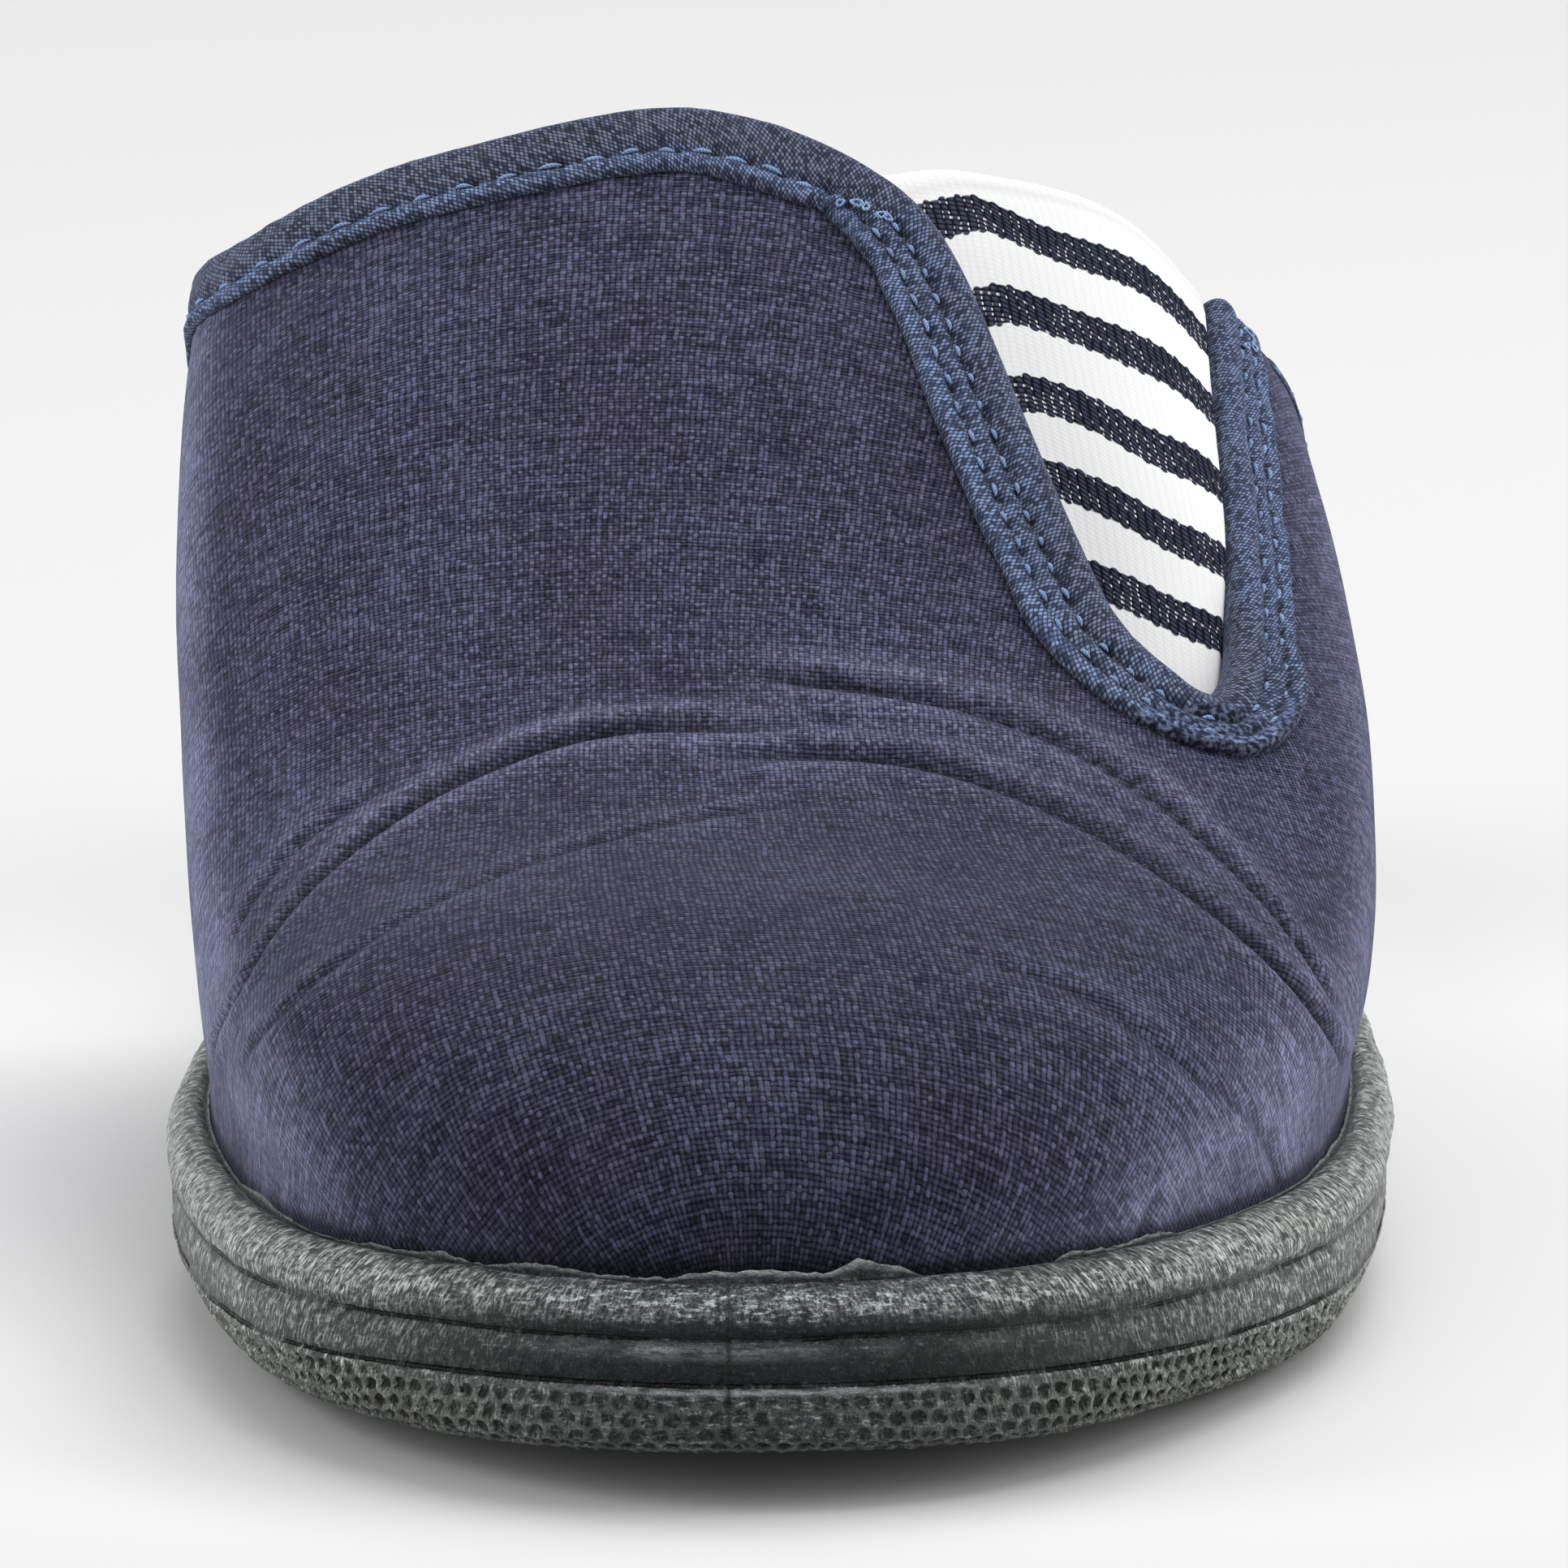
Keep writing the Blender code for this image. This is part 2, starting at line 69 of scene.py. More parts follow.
# Upper and what is sewn to it
UPPER_WALL = 1.8
FOOT_CLEARANCE = 0.5  # upper's lower edge over the bed
FEATHER_STATION = 172.0  # where the throat line comes down to the sole on both sides
TOE_SWELL = 1.6
TOE_SWELL_LENGTH = 14.0
SHOULDER = 0.62  # share of each half section from the crest down to the widest level
SIDE_SPAN = 112.0  # length of a half section by the throat
TOE_ROW = 0.004  # first row of the upper, hidden behind the rim
TAPE_THICKNESS = 0.6
TAPE_WIDTH = 6.0
TAPE_FOLD = 0.7  # between the canvas's cut edge and the tape's fold
TAPE_END_RISE = 4.0  # end of the tape over the rim, at the feather
GUSSET_THICKNESS = 1.0
GUSSET_OVERLAP = 5.0
GUSSET_FOOT = 0.625  # row of its lower end
GUSSET_NARROWING = 0.12  # share of its length in which the overlap grows from its foot

# Insole
INSOLE_EDGE = 0.8
INSOLE_WIDENING = 8.0  # length in which it widens from inside the upper to the rim

OUTLINE = (
    # station and edges, in percent of the length and of the ball width
    # station, medial, lateral
    (0.0, -4.1, -4.1),
    (3.8, -26.7, 21.7),
    (7.3, -35.4, 29.9),
    (11.5, -41.4, 36.5),
    (20.0, -47.3, 45.7),
    (28.6, -50.0, 49.2),
    (35.5, -49.8, 50.0),
    (42.0, -48.3, 49.4),
    (50.0, -46.0, 47.3),
    (60.0, -42.9, 43.2),
    (70.0, -40.0, 39.6),
    (80.0, -37.9, 37.0),
    (88.0, -34.3, 33.4),
    (94.0, -26.8, 26.2),
    (100.0, 0.0, 0.0),
)

SOLE_SIDE = (
    # name, inset from the outline, share of the side's height
    ("tread edge", 4.0, 0.0),
    ("tread round", 1.7, 0.06),
    ("lower band foot", 0.6, 0.20),
    ("lower band top", 0.35, 0.40),
    ("lower groove", 1.0, 0.425),
    ("middle band foot", 0.5, 0.45),
    ("middle band top", 0.4, 0.67),
    ("upper groove", 1.1, 0.695),
    ("bead foot", 0.35, 0.72),
    ("bead equator", 0.0, 0.80),
    ("bead shoulder", 0.5, 0.91),
    ("bead top", 1.6, 0.985),
    ("rim top", 2.6, 1.0),
    ("rim inner edge", RIM_WIDTH, 0.97),
)

SECTIONS = (
    # station in percent of the length, crest height in percent of the instep height, crest offset to the
    # side, then fullness, spread beyond the foot line and widest level for each side
    # station, crest, offset, medial: full, spread, level, lateral: full, spread, level
    (1.4, 12.0, -4.0, 2.2, 0.0, 0.35, 2.2, 0.0, 0.35),
    (3.2, 31.0, -4.4, 2.3, 0.0, 0.40, 2.3, 0.0, 0.40),
    (7.6, 41.0, -5.0, 2.4, 0.3, 0.45, 2.4, 0.3, 0.45),
    (15.3, 46.0, -5.4, 2.5, 1.0, 0.50, 2.5, 0.8, 0.50),
    (28.6, 53.5, -6.2, 2.5, 0.9, 0.50, 2.5, 1.8, 0.49),
    (36.2, 69.0, -7.0, 2.45, 3.0, 0.55, 2.4, 2.1, 0.48),
    (43.9, 90.0, -7.4, 2.05, 6.4, 0.62, 2.1, 2.5, 0.47),
    (51.5, 107.0, -7.4, 1.8, 8.0, 0.67, 2.15, 2.2, 0.45),
    (66.0, 118.0, -7.4, 1.75, 8.0, 0.67, 2.15, 2.8, 0.42),
)

THROAT = (
    # a place across the upper, then the station of its back edge there
    # across, station
    (-1.0, FEATHER_STATION),
    (-0.62, 145.0),
    (-0.50, 135.0),
    (-0.30, 128.0),
    (-0.10, 126.2),
    (0.02, 126.0),
    (0.12, 122.8),
    (0.30, 125.0),
    (0.38, 127.0),
    (0.46, 132.0),
    (0.62, 147.0),
    (1.0, FEATHER_STATION),
)

NOTCH = (
    # a row of the upper's surface, then the places across it of the opening's two edges
    # row, medial edge, lateral edge
    (0.658, 0.306, 0.306),
    (0.672, 0.275, 0.324),
    (0.704, 0.242, 0.336),
    (0.748, 0.222, 0.341),
    (0.820, 0.197, 0.350),
    (0.900, 0.171, 0.359),
    (0.960, 0.151, 0.364),
    (0.985, 0.138, 0.366),
    (1.000, 0.122, 0.367),
)


def natural_spline(knots, values):
    """A cubic curve through the knots, straight at both ends."""
    knots = np.array(knots, float)
    values = np.array(values, float)
    gaps = np.diff(knots)
    slopes = np.diff(values) / gaps
    system = np.eye(len(knots))
    change = np.zeros(len(knots))
    for i in range(1, len(knots) - 1):
        system[i, i - 1 : i + 2] = gaps[i - 1], 2 * (gaps[i - 1] + gaps[i]), gaps[i]
        change[i] = 6 * (slopes[i] - slopes[i - 1])
    bends = np.linalg.solve(system, change)

    def at(place):
        i = np.clip(np.searchsorted(knots, place) - 1, 0, len(gaps) - 1)
        left = (place - knots[i]) / gaps[i]
        right = 1 - left
        sag = (right**3 - right) * bends[i] + (left**3 - left) * bends[i + 1]
        return right * values[i] + left * values[i + 1] + sag * gaps[i] ** 2 / 6

    return at


def ease(share):
    """0 to 1 with level ends."""
    share = np.clip(share, 0, 1)
    return share * share * (3 - 2 * share)


# ---- Sole ----


def closed_outline():
    """The outline's x over the turn: 0 to pi runs down the medial side from toe to heel, and pi to 2 pi
    comes back up the lateral side."""
    station, medial, lateral = np.array(OUTLINE).T / 100
    turn = np.arccos(1 - 2 * station)
    turns = np.concatenate([turn, 2 * math.pi - turn[-2:0:-1]])
    edges = np.concatenate([medial, lateral[-2:0:-1]]) * BALL_WIDTH
    wrapped = np.concatenate([turns - 2 * math.pi, turns, turns + 2 * math.pi])
    return natural_spline(wrapped, np.tile(edges, 3))


OUTLINE_EDGE = closed_outline()


def outline(turn, inset=0.0):
    """x and station of the sole's outline, moved inwards by inset."""
    step = 1e-3

    def plain(at):
        return OUTLINE_EDGE(at), LENGTH * (1 - np.cos(at)) / 2

    x, station = plain(turn)
    x_after, station_after = plain(turn + step)
    x_before, station_before = plain(turn - step)
    run_x, run_station = x_after - x_before, station_after - station_before
    run = np.hypot(run_x, run_station)
    return x + inset * run_station / run, station - inset * run_x / run


def toe_lift(station):
    return np.clip(1 - station / SPRING_LENGTH, 0, 1) ** 1.5


def floor_side(station):
    """Height of the tread: toe spring, flat forefoot, shallow arch, flat heel, bevel at the back."""
    arch = np.clip((station - ARCH_START) / (ARCH_END - ARCH_START), 0, 1)
    bevel = np.clip((station - LENGTH) / HEEL_BEVEL_LENGTH + 1, 0, 1)
    arch_height = ARCH_LIFT * np.sin(math.pi * arch) ** 2
    return TOE_SPRING * toe_lift(station) + arch_height + HEEL_BEVEL * bevel**2


def bed(station):
    ramp = ease((station - HEEL_RAMP_START) / (HEEL_RAMP_END - HEEL_RAMP_START))
    return FOREFOOT_BED + TOE_BED_LIFT * toe_lift(station) + (HEEL_HEIGHT - FOREFOOT_BED) * ramp


def rim(station):
    return bed(station) + RIM_HEIGHT


def to_points(x, station, height):
    return np.stack([x + SIDE_SHIFT, station - LENGTH / 2, height], axis=-1)


# ---- Surface of the upper ----


def foot_lines():
    """Stations of the upper's foot at toe and heel, and its x on each side as functions of station."""
    count = 1440
    x, station = outline(np.arange(count) * 2 * math.pi / count, RIM_WIDTH + FIT_GAP)
    half = count // 2
    first, last = station[0], station[half]
    medial = x[: half + 1], station[: half + 1]
    lateral = np.append(x[half:], x[0])[::-1], np.append(station[half:], first)[::-1]

    def side(xs, stations):
        turns = np.arccos(np.clip(1 - 2 * (stations - first) / (last - first), -1, 1))
        return lambda at: np.interp(np.arccos(1 - 2 * (at - first) / (last - first)), turns, xs)

    return first, side(*medial), side(*lateral)


TOE_FOOT, MEDIAL_FOOT, LATERAL_FOOT = foot_lines()


def section_columns():
    """Each column of SECTIONS as a curve over the root of the distance behind the toe's foot."""
    rows = np.array(SECTIONS)
    stations = rows[:, 0] / 100 * LENGTH
    stations[0] = TOE_FOOT
    rows[:, 1] *= INSTEP_HEIGHT / 100
    rows[0, 1] = bed(TOE_FOOT) + FOOT_CLEARANCE
    roots = np.sqrt(stations - TOE_FOOT)
    return [natural_spline(roots, column) for column in rows.T[1:]]


SECTION = section_columns()
throat_station = natural_spline(*zip(*THROAT))


def station_at(row, across):
    return TOE_FOOT + (throat_station(across) - TOE_FOOT) * row


def skin(row, across):
    """A point of the upper's outer face. row runs 0 to 1 from toe to throat, across -1 to 1 from the
    medial foot over the crest (0) to the lateral foot."""
    station = station_at(row, across)
    root = np.sqrt(station - TOE_FOOT)
    crest, offset, *sides = [column(root) for column in SECTION]
    medial = across < 0
    full, spread, level = [np.where(medial, sides[i], sides[i + 3]) for i in range(3)]
    outwards = np.where(medial, -1.0, 1.0)
    foot_x = np.where(medial, MEDIAL_FOOT(station), LATERAL_FOOT(station))
    foot_z = bed(station) + FOOT_CLEARANCE
    wide_x = foot_x + outwards * spread
    wide_z = foot_z + level * (crest - foot_z)

    angle = math.pi / 2 * (1 - np.abs(across) / SHOULDER)
    reach = (np.abs(np.cos(angle)) ** full + np.abs(np.sin(angle)) ** full) ** (-1 / full)
    above = np.abs(across) <= SHOULDER
    side_z = foot_z + (wide_z - foot_z) * (1 - np.abs(across)) / (1 - SHOULDER)
    swell = ease((side_z - rim(station)) / np.maximum(wide_z - rim(station), 1.0))
    side_x = foot_x + (wide_x - foot_x) * swell
    x = np.where(above, offset + (wide_x - offset) * np.cos(angle) * reach, side_x)
    z = np.where(above, wide_z + (crest - wide_z) * np.sin(angle) * reach, side_z)

    fade = np.exp(-((station - TOE_FOOT) / TOE_SWELL_LENGTH))
    toe_swell = TOE_SWELL * fade * ease((z - rim(station)) / RIM_HEIGHT)
    return to_points(x, station - toe_swell, z)


def skin_frame(row, across):
    """Slopes of the skin along row and across, and its outward normal."""
    step = 1e-3
    along_row = (skin(row + step, across) - skin(row - step, across)) / (2 * step)
    along_across = (skin(row, across + step) - skin(row, across - step)) / (2 * step)
    normal = np.cross(along_across, along_row)
    return along_row, along_across, normal / np.linalg.norm(normal, axis=-1, keepdims=True)


def skin_at(row, across, level):
    """A point of the upper's wall, level millimetres outside its outer face."""
    return skin(row, across) + skin_frame(row, across)[2] * np.expand_dims(level, -1)


NOTCH_ROWS, NOTCH_MEDIAL, NOTCH_LATERAL = np.array(NOTCH).T
NOTCH_FOOT = NOTCH_ROWS[0]
NOTCH_REACH = np.sqrt(NOTCH_ROWS - NOTCH_FOOT)
MEDIAL_EDGE = natural_spline(NOTCH_REACH, NOTCH_MEDIAL)
LATERAL_EDGE = natural_spline(NOTCH_REACH, NOTCH_LATERAL)


def notch_reach(row):
    return np.sqrt(np.clip(row - NOTCH_FOOT, 0, None))


def feather_place(outwards):
    """Place across the throat line where the tape ends over the rim, on the side named by its sign."""
    across = outwards * np.linspace(SHOULDER, 1, 400)
    edge = skin(np.ones_like(across), across)
    clear = edge[:, 2] > rim(edge[:, 1] + LENGTH / 2) + TAPE_END_RISE
    return across[clear][-1]


# ---- Dressing the shape ----

CREASES = (
    # name, depth, width of the trough, then places across the upper and the station of the trough there
    ("over the toes", 0.85, 0.70, (
        (-0.72, 63.5), (-0.645, 58.8), (-0.475, 50.0), (-0.375, 55.1), (-0.25, 65.6), (-0.145, 71.8),
        (-0.025, 74.5), (0.075, 73.4),
    )),
    ("over the toes, outer side", 0.90, 0.80, (
        (-0.02, 70.6), (0.045, 70.9), (0.11, 70.6), (0.21, 64.7), (0.325, 53.6), (0.395, 49.8), (0.48, 49.3),
        (0.635, 56.3), (0.72, 62.5),
    )),
    ("under the notch", 0.80, 0.70, (
        (0.0, 80.6), (0.03, 80.2), (0.11, 79.0), (0.18, 76.7), (0.26, 71.2), (0.325, 64.5), (0.43, 56.3),
        (0.56, 55.0),
    )),
    ("inner side, low", 0.34, 0.65, (
        (-0.62, 43.5), (-0.58, 41.9), (-0.455, 37.2), (-0.365, 36.9), (-0.28, 40.0), (-0.145, 51.2),
        (-0.05, 57.9), (0.09, 64.5),
    )),
    ("outer side, low", 0.30, 0.80, (
        (0.19, 28.8), (0.31, 28.2), (0.405, 27.8), (0.52, 30.2), (0.62, 35.1), (0.71, 39.9), (0.88, 46.0),
    )),
    ("inner side, high", 0.40, 0.75, (
        (-0.48, 60.4), (-0.405, 63.8), (-0.36, 66.3), (-0.25, 70.9),
    )),
    ("by the sole, outer side", 0.34, 0.80, (
        (0.69, 24.4), (0.75, 22.9), (0.82, 21.2),
    )),
)

TAPE_INSIDE = (
    # place on the tape, distance from the canvas's cut edge, level over the canvas, how rubbed and light
    ("fold, inside", -0.75, -2.35, 0.0),
    ("inner face", 0.5, -2.8, 0.0),
    ("inner edge", 3.0, -2.75, 0.0),
    ("under the inner edge", 3.0, -2.25, 0.0),
    ("inner lap", 0.6, -2.15, 0.0),
    ("in the fold", -0.6, -0.9, 0.0),
    ("outer lap", 0.6, 0.25, 0.0),
    ("under the face", 3.0, 0.2, 0.0),
)

TOPLINE_TAPE = (
    # place on the tape, distance from the canvas's cut edge, level over the canvas, how rubbed and light
    ("under the border", 5.0, 0.05, 0.0),
    ("border", 5.95, -0.05, 0.0),
    ("border cord", 6.2, 0.35, 0.1),
    ("cord crest", 5.75, 0.80, 0.45),
    ("cord foot", 5.2, 0.86, 1.0),
    ("outer band", 4.75, 0.84, 0.95),
    ("outer stitch line", 4.25, 0.66, 0.5),
    ("middle band", 3.4, 0.90, 0.05),
    ("inner stitch line", 2.5, 0.98, 0.0),
    ("roll foot", 1.7, 1.02, 0.0),
    ("roll", 0.8, 1.02, 0.05),
    ("roll shoulder", -0.5, 0.70, 0.1),
    ("fold", -1.3, -0.9, 0.0),
) + TAPE_INSIDE

NOTCH_TAPE = (
    # place on the tape, distance from the canvas's cut edge, level over the canvas, how rubbed and light
    ("under the border", 5.0, 0.05, 0.0),
    ("border", 6.0, -0.05, 0.0),
    ("border cord", 6.25, 0.40, 0.15),
    ("cord crest", 5.8, 0.92, 0.75),
    ("cord foot", 5.15, 0.82, 0.95),
    ("outer band", 4.6, 0.84, 0.60),
    ("outer stitch line", 4.15, 0.66, 0.50),
    ("middle band", 3.15, 0.86, 0.55),
    ("inner stitch line", 2.35, 0.55, 0.25),
    ("roll foot", 1.75, 0.90, 0.30),
    ("roll", 0.8, 1.18, 0.34),
    ("roll shoulder", -0.5, 0.86, 0.16),
    ("fold", -1.3, -0.6, 0.0),
) + TAPE_INSIDE

HALF_GIRTH = 92.0  # over the toes, where the creases lie
CREASE_FADE = 0.14  # share of a crease's length in which each end runs out
CREASE_RIDGES = (
    # height as a share of the trough's depth, then distance behind the trough and width, in its widths
    (0.50, 2.4, 1.7),
    (0.42, -2.6, 1.9),
)
SLACK = 0.34  # height of the slack canvas's slow waves
NOTCH_PUCKERS = 0.16, 3.6  # height and pitch of the puckers beside the tape
THROAT_PUCKERS = 0.12, 4.2
PUCKER_REACH = 2.5
ROW_LENGTH = 122.0  # of the upper beside the notch, from toe to throat
FRONT_ROWS, OPENED_ROWS = 150, 61  # of the canvas, before and beside the notch
INNER_COLUMNS, OUTER_COLUMNS = 105, 64

WARP_PITCH, WEFT_PITCH = 0.48, 0.56
TWILL_THREAD, TWILL_RIB = 0.36, 0.38
CORD_PITCH, BEAD_PITCH = 0.71, 0.50  # of the elastic's knit
WEFT_CLOSING = 0.0028  # share by which the weft comes closer for each millimetre away from the toe

EDGE_STEP = 0.25  # between the places of the canvas's edge while its corner is rounded
STOP_SPACING = 0.32  # between the stops along a tape
STOPS_ROUND = 3  # for each place of a tape's section
CORNER_ROUNDING = 4.6  # how softly the tape goes round the notch's inner corner
ROUNDED_LENGTH = 17.0  # each side of the corner
ROUNDED_FADE = 8.0  # last part of that length, in which the rounding runs out
DRAWN_LENGTH, DRAWN_WIDTH = 16.0, 3.5  # of the canvas that is drawn in under the tape at the corner
END_ROUNDING = 1.3
FOLD_MIDDLE, FOLD_LEVEL = 2.3, -0.9  # distance and level to which the tape closes at its ends
OUTER_LEVEL = 0.3  # the tape's outer face is all that lies higher than this over the canvas
TAPE_WAVES, TAPE_RIPPLES = 0.20, 0.12  # heights of its slow and its fine unevenness
STITCH_PULL = 0.28  # how deep a stitch pulls the tape in
CRIMP_HEIGHT, CRIMP_LENGTH = 0.45, 2.2  # of the small waves of its border at the notch's corner
FOOT_STAND, FOOT_LENGTH = 0.9, 7.0  # how far its border stands off at the notch's foot, and on what length
NOTCH_TURN = 46.0  # length of the tape from the notch's foot to the tab's end
NOTCH_NARROWING = 0.20  # share of its width that the tape loses on its leg up to the tab
QUARTER_WIDTH, QUARTER_GAIN = 0.16, 0.54  # shares of the full width: at the tab, and gained behind it
QUARTER_WIDENING = 32.0  # length in which it gains that
QUARTER_START = NOTCH_LATERAL[-1] + (TAPE_WIDTH + 3 * FIT_GAP) / SIDE_SPAN

STITCH_ROWS = (
    # name, the tape it is on, distance from the cut edge, level, pitch, length
    ("topline_stitches", "topline", 4.25, 0.78, 3.5, 1.7),
    ("quarter_stitches", "quarter", 4.25, 0.78, 3.5, 1.7),
    ("notch_inner_stitches", "notch", 2.35, 0.76, 2.9, 1.1),
    ("notch_outer_stitches", "notch", 4.25, 0.88, 2.9, 1.25),
)
THREAD_ROWS, THREAD_SIDES = 10, 8
STITCH_THICKNESS = 0.38
STITCH_SAG = 0.7  # four times how much lower the ends of a stitch are than its middle

THREAD_ENDS = (
    # where from, length along the tape from there, distance from the cut edge, level, size, heading
    ("corner", 0.2, 3.6, 1.15, 0.30, 0.5),
    ("corner", 1.1, 3.3, 1.10, 0.24, 2.1),
    ("corner", 2.6, 2.8, 1.05, 0.28, 1.2),
    ("corner", 3.4, 2.5, 1.00, 0.22, 0.1),
    ("corner", -1.2, 4.4, 0.95, 0.25, 1.6),
    ("tab", -3.0, 3.6, 0.95, 0.33, 1.4),
    ("tab", -4.6, 4.2, 0.95, 0.25, 0.4),
    ("tab", -5.2, 3.0, 0.90, 0.22, 2.4),
)

STRIPE_STOPS = 0.05, 0.35, 0.65, 0.9  # shares of the opening's width
STRIPES = (
    # name, heights of the stripe's middle at those stops, as shares of the panel's height
    ("first", 0.91, 0.87, 0.865, 0.87),
    ("second", 0.755, 0.73, 0.715, 0.72),
    ("third", 0.615, 0.585, 0.545, 0.555),
    ("fourth", 0.485, 0.445, 0.405, 0.405),
    ("fifth", 0.335, 0.305, 0.28, 0.28),
)
STRIPE_RISE, STRIPE_PITCH = 0.147, 9.1  # between stripes: share of the panel's height, and length
STRIPE_HALF = 1.95  # from a stripe's middle to its edge
PANEL_ROWS, PANEL_COLUMNS = 120, 140
PANEL_HEIGHT = 45.0
PANEL_CROWN = 3.3
HEM_DEPTH, EDGE_DEPTH = 0.18, 0.5  # of the line under the panel's top edge, and of the edge's own roll
PANEL_RISE = (
    # share of the opening's width, rows by which the panel's top edge stands over the throat line
    (0.0, 0.026),
    (0.15, 0.044),
    (0.3, 0.047),
    (0.5, 0.044),
    (0.7, 0.034),
    (0.85, 0.018),
    (1.0, 0.0),
)

FOOTBED_COLUMNS = 480
FOOTBED_EDGE = (
    # height over the bed, inset
    (1.2, -0.1),
    (2.4, -0.1),
    (3.3, 0.15),
    (3.9, 0.6),
    (4.2, 1.3),
)
FOOTBED_TOP, TOP_INSET = 4.3, 1.3
FOOTBED_CROWN = 0.7
HEEL_DENT, HEEL_STATION, HEEL_LENGTH = 0.5, 222.0, 24.0  # depth, middle and half length of the dent

DIMPLE_PITCH = 1.85
DIMPLE_ROW = 1.55
FIRST_DIMPLES = 0.4  # height of the lowest row along the side
DIMPLE_DEPTH, DEEPER_BESIDE = 0.65, 0.45  # at the toe, and by what share they are deeper along the sides
GROOVE_DEPTH = 0.32
SEAM_HEIGHT = 0.12
LUMPS = 0.14, 0.20  # heights of the rubber's small and large lumps
GROOVES = 0.425, 0.695  # shares of the side's height
SIDE_COLUMNS = 1500
SIDE_ROWS = (
    # first and last place on the side's profile, rows with both ends
    (0.0, 0.27, 22),
    (0.27, 0.34, 8),
    (0.34, 0.47, 5),
    (0.47, 0.535, 7),
    (0.535, 1.0, 13),
)
COLUMN_SPREAD = 0.165  # evens out the columns, which would else crowd at the toe and the heel
TREAD_ROWS = 7
TUCK_UNDER = 3.3, 2.6  # how far the worn tread's edge is drawn in, on the inner and the outer side

# Painted light and shade in the rubber's paleness: lighter on the bead's top and along the bands' upper
# edges, darker low on each band, by the grooves and across the toe.
RUBBER_PALENESS_AND_PAINTED_LIGHT = (
    # share of the side's height, how pale the rubber is painted at the toe, and at the sides
    (0.0, 0.30, 0.56),
    (0.25, 0.32, 0.64),
    (0.39, 0.34, 0.66),
    (0.410, 0.55, 0.60),
    (0.427, 0.02, 0.16),
    (0.445, 0.02, 0.30),
    (0.53, 0.04, 0.57),
    (0.62, 0.08, 0.62),
    (0.677, 0.45, 0.70),
    (0.697, 0.01, 0.16),
    (0.715, 0.02, 0.42),
    (0.77, 0.06, 0.80),
    (0.82, 0.42, 1.10),
    (0.88, 0.95, 1.25),
    (0.93, 1.05, 1.25),
    (0.955, 0.62, 0.97),
    (1.0, 0.42, 0.68),
)

FLASH_COLUMNS = 1200
FLASH_SECTION = (
    # share of the lip's height, distance outwards from a line just inside the rim, painted highlight on its
    # pale top edge
    (-0.5, 0.50, 0.0),
    (0.0, 0.42, 0.0),
    (0.5, 0.20, 0.0),
    (1.0, 0.02, 0.8),
    (1.0, -0.1, 0.8),
    (0.4, -0.1, 0.0),
    (-0.5, -0.1, 0.0),
)
LIP_START, LIP_PEAK, LIP_END = -17.0, -10.5, 6.0  # lengths along the rim from the tip of the toe
FLASH_FINISH = (
    # what the rubber's finish reads, amount
    ("paleness_and_painted_light", 0.10),
    ("dimples", 0.0),
    ("to_groove", 9.0),
    ("groove", 0.0),
    ("seam", 0.0),
    ("front", 0.8),
)

LIGHTS = (
    # name, place, aim and size in metres, power
    ("overhead", (0.40, 0.35, 1.7), (0.0, 0.0, 0.0), (1.6, 1.4), 23.3),
    ("left side", (-1.2, -0.25, 0.50), (0.0, -0.05, 0.05), (0.6, 1.2), 7.0),
    ("right side", (1.2, -0.25, 0.55), (0.0, -0.05, 0.05), (0.6, 1.2), 5.4),
)
AIR_LIGHT = 0.50
FLOOR_SIZE = 60.0
FLOOR_MIDDLE = 0.0, -0.02, 0.0
FLOOR_NEAR, FLOOR_FAR = 0.085, 0.15  # metres from there, between which the painted pool of light round the shoe fades out
CAMERA_PLACE = SIDE_SHIFT / METRE, -1.127807, 0.247446
CAMERA_AIM = (SIDE_SHIFT + 0.065) / METRE, -0.046913, 0.039359
FOCAL_LENGTH, SENSOR_WIDTH = 317.3, 36.0


# ---- Small tools ----

KNOTS = 64
LATTICE = np.random.default_rng(11).random((KNOTS, KNOTS))


def grain(x, y):
    """Smooth random relief from 0 to 1, with a knot at every whole number."""
    column, row = np.floor(x), np.floor(y)
    along, up = ease(x - column), ease(y - row)
    left, low = column.astype(int) % KNOTS, row.astype(int) % KNOTS
    right, high = (left + 1) % KNOTS, (low + 1) % KNOTS
    foot = LATTICE[low, left] * (1 - along) + LATTICE[low, right] * along
    head = LATTICE[high, left] * (1 - along) + LATTICE[high, right] * along
    return foot * (1 - up) + head * up


def hill(distance, width):
    return np.exp(-((distance / width) ** 2))


def path_lengths(points, axis):
    """Length along a grid of points, from its first row or column."""
    steps = np.linalg.norm(np.diff(points, axis=axis), axis=-1)
    start = np.zeros_like(np.take(steps, [0], axis=axis))
    return np.concatenate([start, np.cumsum(steps, axis=axis)], axis=axis)


def full_turn(count):
    """Angles round the sole's outline, the last one on the first."""
    return np.arange(count + 1) * 2 * math.pi / count


def around_rim(turn):
    """Length along the outline from the tip of the toe: all the way round, and then with the lateral
    side's lengths less than 0."""
    edge = path_lengths(to_points(*outline(turn), np.zeros_like(turn)), 0)
    return edge, np.where(turn <= math.pi, edge, edge - edge[-1])


def narrowed(x, spread):
    """x drawn towards the middle between the two sides, at the same stations."""
    middle = (x + x[..., ::-1]) / 2
    return middle + (x - middle) * spread


def take_up(piece):
    bpy.ops.object.select_all(action="DESELECT")
    piece.select_set(True)
    bpy.context.view_layer.objects.active = piece


def new_grid(name, points):
    """A primitive grid with a vertex for each point, rows by columns, shaped to those points."""
    rows, columns = points.shape[:2]
    bpy.ops.object.select_all(action="DESELECT")
    bpy.ops.mesh.primitive_grid_add(x_subdivisions=columns - 1, y_subdivisions=rows - 1, size=0.1)
    piece = bpy.context.object
    piece.name = piece.data.name = name
    place(piece, points)
    drop_maps(piece)
    return piece


